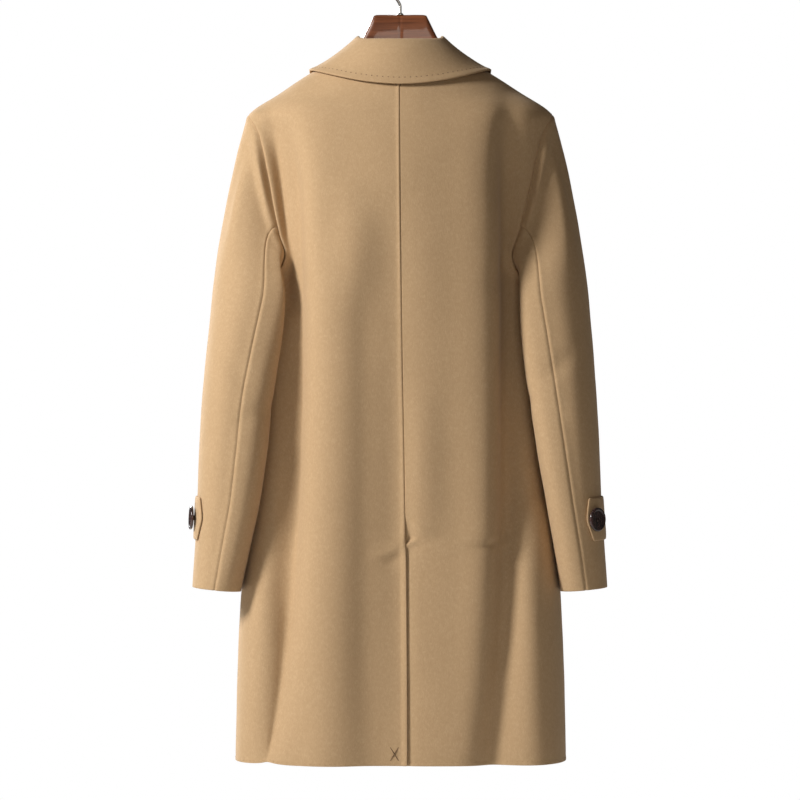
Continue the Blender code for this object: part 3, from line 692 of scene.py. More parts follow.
class Number:
    """A number in a material's nodes, used in sums as numbers are in Python."""

    def __init__(self, finish, socket):
        self.finish = finish
        self.socket = socket

    def sum_with(self, operation, *values):
        node = self.finish.node("ShaderNodeMath", dict(enumerate(values)), operation=operation)
        return Number(self.finish, node.outputs[0])

    def __add__(self, other):
        return self.sum_with("ADD", self, other)

    def __sub__(self, other):
        return self.sum_with("SUBTRACT", self, other)

    def __mul__(self, other):
        return self.sum_with("MULTIPLY", self, other)

    def __truediv__(self, other):
        return self.sum_with("DIVIDE", self, other)


class Finish:
    """A material, its shader's constants, and one method that adds any other node."""

    def __init__(self, name, **constants):
        self.material = bpy.data.materials.new(name)
        self.material.use_nodes = True
        self.tree = self.material.node_tree
        self.shader = self.tree.nodes["Principled BSDF"]
        for socket, value in constants.items():
            self.shader.inputs[socket.replace("_", " ")].default_value = value

    def node(self, kind, sockets=None, stops=(), **settings):
        made = self.tree.nodes.new(kind)
        for name, value in settings.items():
            setattr(made, name, value)
        for k, (place, colour) in enumerate(stops):
            element = made.color_ramp.elements[k] if k < 2 else made.color_ramp.elements.new(place)
            element.position = place
            element.color = (*colour, 1)
        for name, value in (sockets or {}).items():
            self.put(made.inputs[name], value)
        return made

    def put(self, socket, value):
        value = value.socket if isinstance(value, Number) else value
        if isinstance(value, bpy.types.NodeSocket):
            self.tree.links.new(value, socket)
        else:
            socket.default_value = value

    def place(self, stretch=(1, 1, 1)):
        """Object coordinates, stretched: a small number makes a long pattern."""
        where = self.node("ShaderNodeTexCoord").outputs["Object"]
        return self.node("ShaderNodeMapping", {"Vector": where, "Scale": stretch}).outputs[0]

    def noise(self, where, scale, detail=3.0, roughness=0.55, distortion=0.0):
        sockets = {"Vector": where, "Scale": scale, "Detail": detail}
        sockets.update(Roughness=roughness, Distortion=distortion)
        return Number(self, self.node("ShaderNodeTexNoise", sockets).outputs["Fac"])

    def mix(self, share, low, high):
        """Two colours mixed; each is a socket or three numbers."""
        low, high = ((*c, 1) if isinstance(c, tuple) else c for c in (low, high))
        made = self.node("ShaderNodeMix", data_type="RGBA", clamp_factor=True)
        self.put(made.inputs["Factor"], share)
        self.put(made.inputs[6], low)
        self.put(made.inputs[7], high)
        return made.outputs[2]

    def bump(self, height, distance, strength=1.0):
        made = self.node("ShaderNodeBump", {"Height": height, "Distance": distance, "Strength": strength})
        self.put(self.shader.inputs["Normal"], made.outputs[0])

    def colour(self, colour):
        self.put(self.shader.inputs["Base Color"], colour)

    def roughness(self, value):
        self.put(self.shader.inputs["Roughness"], value)


def wool_finish():
    """Felted double-faced coating: a short nap brushed downwards, with paler and darker fibres."""
    sheen = {"Sheen_Weight": 0.22, "Sheen_Roughness": 0.45, "Sheen_Tint": (1.0, 0.86, 0.70, 1)}
    made = Finish("camel_wool", Specular_IOR_Level=0.2, **sheen)
    level = made.place()
    nap = made.noise(made.place((1, 1, 0.30)), 760.0, 3.0, 0.65)
    fibres = made.noise(made.place((1, 1, 0.16)), 1500.0, 2.0, 0.7)
    clumps = made.noise(level, 210.0, 3.0, 0.6, 0.4)
    clouds = made.noise(level, 9.0, 2.0, 0.5)
    dark, middle, pale = WOOL_TONES
    tone = nap * 0.45 + fibres * 0.30 + clumps * 0.25
    base = made.mix((tone - 0.36) / 0.26, dark, middle)
    base = made.mix((fibres * 0.6 + clumps * 0.4 - 0.50) * 3.2, base, pale)
    made.colour(made.mix(clouds * 0.35, base, dark))
    made.roughness(nap * 0.10 + 0.86)
    made.bump(nap * 0.6 + fibres * 0.35 + clumps * 0.25, 0.0005, 0.7)
    return made.material


def thread_finish(name, colour):
    """Twisted thread, with its plies seen as a fine slanting ridge."""
    made = Finish(name, Sheen_Weight=0.15, Specular_IOR_Level=0.3)
    wave = {"Vector": made.place(), "Scale": 520.0, "Distortion": 0.6}
    twist = made.node("ShaderNodeTexWave", wave, bands_direction="DIAGONAL")
    ply = Number(made, twist.outputs["Fac"])
    made.colour(made.mix(ply, tuple(0.72 * c for c in colour), colour))
    made.roughness(ply * 0.1 + 0.7)
    made.bump(ply, 0.0003)
    return made.material


def horn_finish():
    """Polished dark horn: nearly black, with purple-brown streaks under the gloss."""
    made = Finish("dark_horn", Coat_Weight=0.6, Coat_Roughness=0.06)
    streaks = made.noise(made.place((1.0, 1.0, 0.25)), 150.0, 4.0, 0.6, 1.4)
    flecks = made.noise(made.place(), 900.0, 2.0)
    base = made.mix((streaks - 0.45) * 4.0, (0.013, 0.008, 0.010), (0.085, 0.040, 0.036))
    made.colour(made.mix((flecks - 0.62) * 3.0, base, (0.13, 0.075, 0.055)))
    made.roughness(streaks * 0.16 + 0.14)
    made.bump(flecks, 0.00006, 0.4)
    return made.material


def wood_finish():
    """Stained wood under clear varnish, its grain along the hanger."""
    made = Finish("brown_wood", Coat_Weight=1.0, Coat_Roughness=0.05)
    bend = made.noise(made.place((0.6, 1, 1)), 9.0, 2.0)
    grain = made.noise(made.place((0.05, 1, 1)), 240.0, 4.0, 0.6, 0.3)
    pores = made.noise(made.place((0.03, 1, 1)), 1400.0, 2.0)
    tone = made.node(
        "ShaderNodeValToRGB", {"Fac": grain * 0.7 + bend * 0.3},
        stops=((0.34, (0.110, 0.032, 0.012)), (0.66, (0.250, 0.080, 0.029)), (0.50, (0.190, 0.058, 0.021))),
    )
    made.colour(made.mix((pores - 0.60) * 4.0, tone.outputs["Color"], (0.05, 0.015, 0.007)))
    made.roughness(grain * 0.15 + 0.28)
    made.bump(pores, 0.00008, 0.5)
    return made.material


def steel_finish():
    """Bright plated wire with faint drawing marks."""
    made = Finish("bright_steel", Metallic=1.0)
    marks = made.noise(made.place(), 420.0, 3.0)
    made.colour(made.mix(marks, (0.56, 0.55, 0.54), (0.70, 0.69, 0.67)))
    made.roughness(marks * 0.14 + 0.12)
    made.bump(marks, 0.00003, 0.5)
    return made.material


def plain_finish(name, colour, roughness):
    made = Finish(name, Specular_IOR_Level=0.2)
    grain = made.noise(made.place(), 40.0)
    made.colour(made.mix(grain, colour, tuple(0.97 * c for c in colour)))
    made.roughness(grain * 0.05 + roughness)
    return made.material


# ---------------------------------------------------------------- making pieces

WOOL_TONES = ((0.435, 0.288, 0.157), (0.500, 0.340, 0.195), (0.575, 0.408, 0.252))
WOOL = wool_finish()
HORN = horn_finish()
WOOD = wood_finish()
STEEL = steel_finish()
STITCH = thread_finish("wool_thread", (0.47, 0.30, 0.155))
PICK_STITCH = thread_finish("pick_thread", (0.20, 0.115, 0.055))
BUTTON_THREAD = thread_finish("brown_thread", (0.060, 0.032, 0.022))


def linked(name, data):
    made = bpy.data.objects.new(name, data)
    bpy.context.scene.collection.objects.link(made)
    return made


def add_piece(name, data, finish, replaces=()):
    made = linked(name, data)
    data.materials.append(finish)
    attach(made, "root")
    if replaces:
        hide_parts(*replaces)
    return made


def mesh_from(name, bm, smooth_under=50):
    mesh = bpy.data.meshes.new(name)
    bm.to_mesh(mesh)
    bm.free()
    mesh.shade_smooth()
    mesh.set_sharp_from_angle(angle=math.radians(smooth_under))
    return mesh


def cloth(name, points, inside, node, wall=WALL, seat=(0.5, 0.5), edge=0.0):
    """A piece of cloth: a grid of points for its outside, a wall behind it and rounded edges."""
    rows, columns = len(points), len(points[0])
    bm = bmesh.new()
    grid = bmesh.ops.create_grid(bm, x_segments=columns - 1, y_segments=rows - 1, size=1)
    for k, vert in enumerate(grid["verts"]):
        vert.co = points[k // columns][k % columns]
    bm.normal_update()
    bm.verts.ensure_lookup_table()
    seen = bm.verts[int(seat[0] * (rows - 1)) * columns + int(seat[1] * (columns - 1))]
    if seen.normal.dot(seen.co - inside) < 0:
        bmesh.ops.reverse_faces(bm, faces=bm.faces)
    area = sum(face.calc_area() for face in bm.faces)
    made = add_piece(name, mesh_from(name, bm, 180), WOOL, (node,))
    solidify = made.modifiers.new("wall", "SOLIDIFY")
    solidify.thickness = wall
    solidify.offset = -1
    solidify.edge_crease_outer = solidify.edge_crease_inner = edge
    surface = made.modifiers.new("soft", "SUBSURF")
    surface.levels = surface.render_levels = 1
    width = max(run_lengths(row)[-1] for row in points)
    length = max(run_lengths([row[j] for row in points])[-1] for j in range(columns))
    return made, (width, length), area


def tubes(name, lines, radius, finish, replaces=()):
    """Round wires or threads along lines of points."""
    curve = bpy.data.curves.new(name, "CURVE")
    curve.dimensions = "3D"
    curve.bevel_depth = radius
    curve.bevel_resolution = 3 if radius > 0.001 else 1
    curve.use_fill_caps = True
    for line in lines:
        spline = curve.splines.new("POLY")
        spline.points.add(len(line) - 1)
        for target, point in zip(spline.points, line):
            target.co = (*point, 1)
    return add_piece(name, curve, finish, replaces)


def at_length(line, lengths, distance):
    """The point of a line at a distance from its start, and the line's direction there."""
    k = max(i for i in range(len(line) - 1) if lengths[i] <= distance)
    step = line[k + 1] - line[k]
    return line[k] + step * ((distance - lengths[k]) / step.length), step.normalized()


def stitches(name, paths, spacing, size, finish=STITCH):
    """Small raised hand stitches along paths of (point, outward normal)."""
    bm = bmesh.new()
    for path in paths:
        line = [point for point, _ in path]
        lengths = run_lengths(line)
        for k in range(int(lengths[-1] / spacing)):
            uneven = 0.12 * noise.noise(Vector((k * 1.7, 0, 0)))
            point, along = at_length(line, lengths, (k + 0.5 + uneven) * spacing)
            nearest = min(range(len(line)), key=lambda i: (line[i] - point).length)
            normal = path[nearest][1]
            side = normal.cross(along).normalized()
            turn = Matrix((along, side, along.cross(side))).transposed().to_4x4()
            place = Matrix.Translation(point - normal * STITCH_SINK) @ turn @ Matrix.Diagonal((*size, 1))
            bmesh.ops.create_uvsphere(bm, u_segments=8, v_segments=5, radius=0.5, matrix=place)
    return add_piece(name, mesh_from(name, bm), finish)


# ---------------------------------------------------------------- the body's panels

SEAM_EDGE = 0.75
EDGE_STEPS = (0.0, 0.006, 0.013, 0.022, 0.034, 0.050, 0.072)
PANEL_COLUMNS = 26
LAP_COLUMNS = (1.0, 1.25, 1.5, 1.7, 1.85, 1.94, 2.0)
HEM_STEPS = (0.09, 0.055, 0.025, 0.0)
SEAM_CALM = 0.016


def spread(low, high, count):
    return [blend(low, high, k / count) for k in range(count)]


def body_rows():
    rows = []
    for low, high, count in FINE_ROWS:
        rows += spread(low, high, count)
        if high == VENT_ROW:
            rows.append(VENT_ROW)
    return rows + [LAST_ROW - step for step in HEM_STEPS]


def body_shares(face):
    low, high = EDGE_STEPS[-1], 1 - EDGE_STEPS[-1]
    shares = list(EDGE_STEPS) + spread(low, high, PANEL_COLUMNS)[1:] + [1 - step for step in EDGE_STEPS[::-1]]
    if face == FRONT:
        shares = [share for share in shares if share < 1 - EDGE_STEPS[3]]
        shares += LAP_COLUMNS
    return shares


def crease_depth(point, face):
    """Depth of the body's creases at a point of its surface."""
    depth = creases_at(Vector((point.x, point.z)), CREASES[face])
    return depth * ease(0, SIDE_CALM / 2, abs(point.y))


def body_relief(side, face, rows):
    def relief(i, j, point, from_side, from_middle):
        rise = ripple(point) - lap_sink(side, face, point.x, point.z)
        rise += swell(from_side, SEAM_ROLL) - crease_depth(point, face) * ease(0, SEAM_CALM, from_side)
        if face == BACK and rows[i] <= VENT_ROW:
            rise += swell(from_middle, TURNED_SEAM) if side == LEFT else 0.0
        elif face == BACK:
            rise += vent_edge(side, point.x, point.z, from_middle)
        elif side == LEFT:
            rise += stitch_groove(from_middle, FRONT_STITCH_IN)
        return rise + stitch_groove(point.z - HEM, HEM_STITCH_UP)

    return relief


def body_panel(side, face):
    rows, shares = body_rows(), body_shares(face)
    points = [[body_point(*panel_place(side, face, row, share)) for share in shares] for row in rows]
    inside = Vector((0, 0, points[len(rows) // 2][0].z))
    points = shaped(points, inside, body_relief(side, face, rows))
    node = f"{FACE_WORD[face]}_{SIDE_WORD[side]}"
    return cloth(f"cloth_{node}", points, inside, node, edge=SEAM_EDGE), points


# ---------------------------------------------------------------- the sleeves

SLEEVE_HEAD_ROWS = (0.0, 0.006, 0.016, 0.030)
SLEEVE_CAP_ROWS = 34
SLEEVE_FOREARM_ROWS = 52
SLEEVE_CUFF_ROWS = (1.97, 1.984, 1.993, 2.0)
SLEEVE_EDGE_STEPS = (0.0, 0.05, 0.12, 0.20, 0.32)
SLEEVE_COLUMNS = {"upper": 34, "under": 22}
PLACE_WIDTH = 0.028
CAP_SWELL = 0.0016
BACK_SWELL = 0.0085
ARMHOLE_DIP = 0.0010


def sleeve_relief(side, places, alongs):
    creases = [
        (start * PLACE_WIDTH, start_height, end * PLACE_WIDTH, *rest)
        for start, start_height, end, *rest in SLEEVE_CREASES[side]
    ]

    def relief(i, j, point, from_start, from_end):
        at = Vector((places[j] % ARM_TURN * PLACE_WIDTH, point.z))
        rise = ripple(point) - creases_at(at, creases)
        rise += swell(from_start, SEAM_ROLL) + swell(from_end, SEAM_ROLL)
        top = (1 + math.cos(math.tau * places[j] / ARM_TURN)) / 2
        rise += CAP_SWELL * top * bell(alongs[i], 0.05, 0.035)
        behind = bell(places[j], 3.0, 1.6)
        rise += BACK_SWELL * behind * ease(0, 0.06, alongs[i]) * bell(alongs[i], 0.11, 0.070)
        return rise - ARMHOLE_DIP * bell(alongs[i], 0, 0.012)

    return relief


def sleeve_panel(side, part):
    low, high = SEAM_PLACE[FRONT], SEAM_PLACE[BACK]
    if part == "under":
        low, high = high, low + ARM_TURN
    low, high = low + SEAM_GAP / 2 / PLACE_WIDTH, high - SEAM_GAP / 2 / PLACE_WIDTH
    *steps, inmost = SLEEVE_EDGE_STEPS
    places = [low + step for step in steps] + spread(low + inmost, high - inmost, SLEEVE_COLUMNS[part])
    places += [high - step for step in SLEEVE_EDGE_STEPS[::-1]]
    alongs = [*SLEEVE_HEAD_ROWS, *spread(0.05, 1, SLEEVE_CAP_ROWS)]
    alongs += [*spread(1, SLEEVE_CUFF_ROWS[0], SLEEVE_FOREARM_ROWS), *SLEEVE_CUFF_ROWS]
    points = [[sleeve_point(side, place, along) for place in places] for along in alongs]
    height = points[len(points) // 2][0].z
    outer, inner = (smooth_value(SLEEVES[side], height, column) for column in (1, 2))
    inside = Vector((side * (outer + inner) / 2, 0, height))
    points = shaped(points, inside, sleeve_relief(side, places, alongs))
    node = f"sleeve_{SIDE_WORD[side]}_{part}"
    return cloth(f"cloth_{node}", points, inside, node, edge=SEAM_EDGE)


def sleeve_at(side, place, along):
    """A point of the finished sleeve's outside, away from its seams, and its outward normal."""
    run = sleeve_point(side, place + 0.05, along) - sleeve_point(side, place - 0.05, along)
    down = sleeve_point(side, place, along + 0.01) - sleeve_point(side, place, along - 0.01)
    normal = run.cross(down).normalized() * -side
    point = sleeve_point(side, place, along)
    return point + normal * ripple(point), normal


def sleeve_tab(side):
    """A pointed tab from the forearm seam round the outside of the sleeve."""
    start = SEAM_PLACE[FRONT] + TAB_START
    points = []
    for k in range(TAB_ROWS + 1):
        drop = k / TAB_ROWS
        end = TAB_TIP[side] - TAB_POINT * abs(2 * drop - 1) ** TAB_POINT_CURVE
        row = []
        for j in range(TAB_COLUMNS + 1):
            place = blend(start, end, j / TAB_COLUMNS)
            point, normal = sleeve_at(side, place, along_at(blend(TAB_TOP, TAB_FOOT, drop)))
            row.append(point + normal * (TAB_GAP + TAB_WALL + TAB_LIFT))
        points.append(row)
    inside = Vector((side * 0.24, 0.01, points[TAB_ROWS // 2][TAB_COLUMNS // 2].z))

    def relief(i, j, point, from_start, from_end):
        edge = min(min(i, TAB_ROWS - i) / TAB_ROWS * (TAB_TOP - TAB_FOOT), from_end)
        return stitch_groove(edge, TAB_STITCH_IN) - TAB_ROUND_DEPTH * bell(edge, 0, TAB_ROUND_BREADTH)

    points = shaped(points, inside, relief)
    node = f"sleeve_tab_{SIDE_WORD[side]}"
    return cloth(f"cloth_{node}", points, inside, node, TAB_WALL)


# ---------------------------------------------------------------- the collar

COLLAR_FALL_ROWS = [k / 16 for k in range(1, 16)] + [0.965, 0.985, 1.0]
COLLAR_STAND_ROWS = 6
COLLAR_SHARES = {BACK: spread(0, 1, 36) + [1.0], FRONT: spread(0, 1, 30)[1:] + [0.983, 0.993, 1.0]}
COLLAR_EDGE_LIFT = 0.0014
COLLAR_SEAT_SEEN = (0.75, 0.5)


def collar_profile(side, face, share):
    """Points of the collar's middle surface, from the neck line over the fold to the fall's edge."""
    turn, height = neck_place(face, share)
    turn = on_side(side, turn)
    base = body_point(turn, height) - body_normal(turn, height) * WALL / 2
    base.z += COLLAR_SEAT
    end = ease(0.8, 1.0, share) if face == FRONT else 0.0
    out, up = Vector((base.x, base.y, 0)).normalized(), Vector((0, 0, 1))
    lean, rise = (blend(ROLL_SIDE[i], ROLL_MIDDLE[face][i], ease(0, 1, share)) for i in (0, 1))
    roll = base + out * lean + up * rise
    angle = math.radians(90 * share)
    if face == BACK:
        edge_x = FALL_SIDE_X * math.cos(angle)
        edge_height = FALL_BACK + (FALL_SIDE - FALL_BACK) * (edge_x / FALL_SIDE_X) ** FALL_BACK_POWER
    else:
        edge_x = blend(COLLAR_POINT_X, FALL_SIDE_X, math.cos(angle))
        edge_height = blend(FALL_SIDE, COLLAR_POINT, share)
    lift = COLLAR_WALL / 2 + LAYER_GAP + COLLAR_STAND_OFF
    edge, _ = on_body(edge_x, edge_height, face, lift, side)
    above, _ = on_body(edge_x * 0.96, edge_height + 0.01, face, lift, side)
    turned_over = roll + out * ROLL_RADIUS - up * ROLL_RADIUS
    length = (edge - turned_over).length
    stand = base.lerp(roll - out * ROLL_RADIUS * 1.2, 0.55)
    points = [base, base.lerp(stand, 0.5), stand, roll - (out + up) * ROLL_RADIUS, roll, turned_over]
    points = [point + Vector((side * COLLAR_END * end, 0, 0)) for point in points]
    leave, arrive = (out - up).normalized() * length, (edge - above).normalized() * length
    return points + [hermite(points[-1], leave, edge, arrive, f) for f in COLLAR_FALL_ROWS]


def collar_surface():
    """Rows of points from the neck line to the fall's edge, from the left point round to the right one."""
    stations = [(LEFT, FRONT, share) for share in COLLAR_SHARES[FRONT][::-1]]
    stations += [(LEFT, BACK, share) for share in COLLAR_SHARES[BACK]]
    stations += [(RIGHT, BACK, share) for share in COLLAR_SHARES[BACK][-2::-1]]
    stations += [(RIGHT, FRONT, share) for share in COLLAR_SHARES[FRONT]]
    columns = [collar_profile(*station) for station in stations]
    return [[column[i] for column in columns] for i in range(len(columns[0]))]


def collar():
    points = collar_surface()
    depths = [run_lengths([row[j] for row in points]) for j in range(len(points[0]))]

    def relief(i, j, point, from_start, from_end):
        edge = min(depths[j][-1] - depths[j][i], from_start, from_end)
        fall = ease(COLLAR_STAND_ROWS - 2, COLLAR_STAND_ROWS + 3, i)
        groove = stitch_groove(edge, PICK_FROM_EDGE) + 0.0004 * bell(edge, 0.0045, 0.003)
        return COLLAR_WALL / 2 + fall * (ripple(point) + groove) + COLLAR_EDGE_LIFT * bell(edge, 0, 0.014)

    middle = points[int(COLLAR_SEAT_SEEN[0] * (len(points) - 1))][len(points[0]) // 2]
    points = shaped(points, Vector((middle.x, 0, middle.z)), relief)
    inside = Vector((0, 0, FALL_BACK))
    return cloth("cloth_collar", points, inside, "collar", COLLAR_WALL, COLLAR_SEAT_SEEN), points


def collar_stitch_path(points):
    """Places and normals a little in from the collar's free edge, from one front end to the other."""
    path = []
    last = len(points[0]) - 1
    for j in range(last + 1):
        column = [row[j] for row in points]
        lengths = run_lengths(column)
        parts = (part for row in points[-6:] for part in (row[:j + 1], row[j:]))
        if min(run_lengths(part)[-1] for part in parts) < PICK_FROM_EDGE:
            continue
        point, down = at_length(column, lengths, lengths[-1] - PICK_FROM_EDGE)
        beside = points[-4][min(j + 1, last)] - points[-4][max(j - 1, 0)]
        normal = beside.cross(down).normalized()
        path.append((point, facing(normal, (point.x, point.y, 0.04))))
    return path


def collar_end_path(points, j, step):
    """The same along a front end, from the fall's edge up towards the fold."""
    path = []
    for i in range(len(points) - 3, COLLAR_STAND_ROWS + 4, -1):
        row = points[i] if step > 0 else points[i][::-1]
        point, across = at_length(row, run_lengths(row), PICK_FROM_EDGE)
        down = points[i + 1][j] - points[i - 1][j]
        path.append((point, facing(across.cross(down).normalized(), (0, -1, 0))))
    return path


# ---------------------------------------------------------------- stitches, seams and tacks

VENT_TACK_X = (0.0140, 0.0030)
VENT_TACK_Z = (-1.0815, -1.0995)
CUFF_TACK_HEIGHT = -0.851
CUFF_TACK_STEPS = (-0.10, -0.05, 0.0, 0.05, 0.10)
CUFF_TACK_SPACING = 0.0012


def hem_stitch_path(points):
    """Places and normals just above the hem, across a panel."""
    target = HEM + HEM_STITCH_UP
    i = min(range(len(points)), key=lambda k: abs(points[k][len(points[k]) // 2].z - target))
    path = []
    for j in range(2, len(points[i]) - 2):
        point = points[i][j]
        across = points[i][j + 1] - points[i][j - 1]
        normal = across.cross(points[i - 1][j] - point).normalized()
        path.append((point, facing(normal, (point.x, point.y, 0))))
    return path


def on_back(x, height, stand_off):
    """A place a little proud of the finished back, away from its seams."""
    point, normal = on_body(x, height, BACK)
    return point + normal * (ripple(point) - crease_depth(point, BACK) + stand_off)


def vent_tack():
    """The crossed basting thread at the vent's foot, as it is sold."""
    lines = []
    for start, end in (VENT_TACK_X, VENT_TACK_X[::-1]):
        line = []
        for k in range(9):
            stand_off = 0.0010 * math.sin(math.pi * k / 8) - 0.0009 + 0.0006
            line.append(on_back(blend(start, end, k / 8), blend(*VENT_TACK_Z, k / 8), stand_off))
        lines.append(line)
    tubes("vent_basting", lines, 0.0005, PICK_STITCH)


def seam_end_tack(side):
    """A short bar of thread that closes the hind-arm seam above the cuff."""
    lines = []
    for k in range(3):
        along = along_at(CUFF_TACK_HEIGHT - CUFF_TACK_SPACING * k)
        line = []
        for step in CUFF_TACK_STEPS:
            point, normal = sleeve_at(side, SEAM_PLACE[BACK] + step, along)
            line.append(point + normal * (0.0003 - 0.004 * abs(step) + 0.0002))
        lines.append(line)
    tubes(f"cuff_tack_{SIDE_WORD[side]}", lines, 0.0004, STITCH)


# ---------------------------------------------------------------- buttons and buttonholes

BUTTON_RING = 48
RIM_HALF_WIDTH = 0.0015
RIM_HALF_HEIGHT = 0.0019
DISH_DEPTH = 0.0013
HOLE_REACH = 0.0031
HOLE_RADIUS = 0.0012
HOLE_BEVEL = 0.00022
THREAD_RADIUS = 0.00042
SHANK_RADIUS = 0.0031
SHANK_TURNS = 6
BUTTONHOLE_ENDS = (-0.0035, 0.0245)
BUTTONHOLE_HALF_HEIGHT = 0.0011


def turned(profile, sides):
    bm = bmesh.new()
    verts = [bm.verts.new((radius, 0, height)) for radius, height in profile]
    edges = [bm.edges.new(pair) for pair in zip(verts, verts[1:])]
    bmesh.ops.spin(
        bm, geom=verts + edges, cent=(0, 0, 0), axis=(0, 0, 1), angle=math.tau, steps=sides, use_merge=True
    )
    bmesh.ops.remove_doubles(bm, verts=bm.verts, dist=1e-6)
    bmesh.ops.recalc_face_normals(bm, faces=bm.faces)
    return bm


def button_mesh():
    """A dished horn button with a rounded rim and four drilled holes, lying on the XY plane."""
    foot, top = SHANK_HEIGHT, SHANK_HEIGHT + BUTTON_THICKNESS
    middle, dish = (foot + top) / 2, top - DISH_DEPTH
    profile = [(0, foot), (BUTTON_RADIUS - 0.0035, foot), (BUTTON_RADIUS - 0.0018, foot + 0.0003)]
    for k in range(9):
        angle = math.radians(-60 + 18.5 * k)
        reach = BUTTON_RADIUS - RIM_HALF_WIDTH + RIM_HALF_WIDTH * math.cos(angle)
        profile.append((reach, middle + RIM_HALF_HEIGHT * math.sin(angle)))
    profile += [(BUTTON_RADIUS - 0.0024, top - 0.0001), (BUTTON_RADIUS - 0.0033, top - 0.0004)]
    profile += [(BUTTON_RADIUS - 0.0042, dish + 0.0002), (BUTTON_RADIUS - 0.0056, dish)]
    profile += [(0.0060, dish - 0.0001), (0.0048, dish - 0.0004), (0, dish - 0.0005)]
    body = linked("button_blank", mesh_from("button_blank", turned(profile, BUTTON_RING)))
    drill = bmesh.new()
    for k in range(4):
        angle = math.radians(45 + 90 * k)
        place = Matrix.Translation((HOLE_REACH * math.cos(angle), HOLE_REACH * math.sin(angle), middle))
        bmesh.ops.create_cone(
            drill, cap_ends=True, segments=16, depth=0.02, matrix=place,
            radius1=HOLE_RADIUS, radius2=HOLE_RADIUS,
        )
    cutter = linked("button_drill", mesh_from("button_drill", drill))
    cut = body.modifiers.new("holes", "BOOLEAN")
    cut.object = cutter
    cut.solver = "EXACT"
    edge = body.modifiers.new("hole_edges", "BEVEL")
    edge.width = HOLE_BEVEL
    edge.segments = 2
    edge.angle_limit = math.radians(55)
    mesh = bpy.data.meshes.new_from_object(body.evaluated_get(bpy.context.evaluated_depsgraph_get()))
    for made in (body, cutter):
        bpy.data.objects.remove(made, do_unlink=True)
    return mesh


def button_thread_lines():
    """Thread through a button's holes: two loops over the top, and turns round the shank below."""
    top = SHANK_HEIGHT + BUTTON_THICKNESS - 0.0016
    reach = HOLE_REACH / math.sqrt(2)
    lines = []
    for y in (-reach, reach):
        for strand in (-0.0005, 0.0, 0.0005):
            line = []
            for k in range(11):
                f = 2 * k / 10 - 1
                line.append(Vector((reach * f, y + strand, top + 0.0009 - 0.0030 * f ** 4)))
            lines.append(line)
    shank = []
    steps = SHANK_TURNS * 12
    for k in range(steps + 1):
        angle, height = math.tau * k / 12, 0.0002 + 0.0021 * k / steps
        shank.append(Vector((SHANK_RADIUS * math.cos(angle), SHANK_RADIUS * math.sin(angle), height)))
    return lines + [shank]


def button(node, mesh):
    """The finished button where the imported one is, facing the way that the cloth under it faces."""
    if node.startswith("front"):
        low, high = (Vector(corner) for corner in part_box(node))
        seat, normal = on_body(0, ((low + high) / 2).z, FRONT)
    else:
        side = LEFT if node.endswith("left") else RIGHT
        place = TAB_TIP[side] - TAB_BUTTON_BACK[side]
        seat, normal = sleeve_at(side, place, along_at((TAB_TOP + TAB_FOOT) / 2))
        seat += normal * (TAB_GAP + TAB_WALL)
    turn = Vector((0, 0, 1)).rotation_difference(normal).to_matrix().to_4x4()
    place = Matrix.Translation(seat + normal * BUTTON_SEAT) @ turn
    horn = mesh.copy()
    horn.transform(place)
    add_piece(f"horn_{node}", horn, HORN, (node,))
    lines = [[place @ point for point in line] for line in button_thread_lines()]
    tubes(f"thread_{node}", lines, THREAD_RADIUS, BUTTON_THREAD)


def buttonhole(number, height):
    """A worked keyhole buttonhole in the upper front, under its button."""
    low, high = BUTTONHOLE_ENDS
    line = []
    for k in range(33):
        angle = math.tau * k / 32
        c, s = math.cos(angle), math.sin(angle)
        eye = 1 + 1.1 * bell(c, -1, 0.25)
        x = (low + high) / 2 + (high - low) / 2 * c
        z = height + BUTTONHOLE_HALF_HEIGHT * eye * math.copysign(abs(s) ** 0.35, s)
        point, normal = on_body(x, z, FRONT)
        line.append(point + normal * (ripple(point) + 0.0001))
    tubes(f"buttonhole_{number}", [line], 0.0007, BUTTON_THREAD)


# ---------------------------------------------------------------- hanger and hook

HANGER_SIDES = 36
HANGER_STEPS = 44
HANGER_TIP = ((0.0016, 0.86), (0.0026, 0.55), (0.0030, 0.15))
JOINT_HALF_WIDTH = 0.0007
JOINT_DEPTH = 0.00030


def hanger_rings():
    """Sections across the hanger: x, top, foot, half thickness."""
    span = HANGER[-1][0]
    steps = (span * k / HANGER_STEPS for k in range(1, HANGER_STEPS))
    places = sorted({0.0, JOINT_HALF_WIDTH, *(row[0] for row in HANGER), *steps})
    half = [(x, *(smooth_value(HANGER, x, column) for column in (1, 2, 3))) for x in places]
    x, top, foot, thick = half[-1]
    for grow, share in HANGER_TIP:
        middle, deep = (top + foot) / 2, (top - foot) / 2 * share
        half.append((x + grow, middle + deep, middle - deep, thick * share))
    return [(-x, *rest) for x, *rest in half[:0:-1]] + half


def hanger():
    bm = bmesh.new()
    loops = []
    for x, top, foot, thick in hanger_rings():
        ring = bmesh.ops.create_circle(bm, segments=HANGER_SIDES, radius=1)["verts"]
        sink = JOINT_DEPTH if x == 0 else 0.0
        for vert in ring:
            c, s = vert.co.x, vert.co.y
            k = rounded_reach(c, s, HANGER_SQUARENESS)
            vert.co = (x, (thick - sink) * k * c, (top + foot) / 2 + ((top - foot) / 2 - sink) * k * s)
        loops.append([edge for edge in bm.edges if all(vert in ring for vert in edge.verts)])
    for low, high in zip(loops, loops[1:]):
        bmesh.ops.bridge_loops(bm, edges=low + high)
    bmesh.ops.holes_fill(bm, edges=[edge for edge in bm.edges if edge.is_boundary], sides=0)
    bmesh.ops.recalc_face_normals(bm, faces=bm.faces)
    add_piece("wooden_hanger", mesh_from("wooden_hanger", bm, 60), WOOD, ("hanger",))


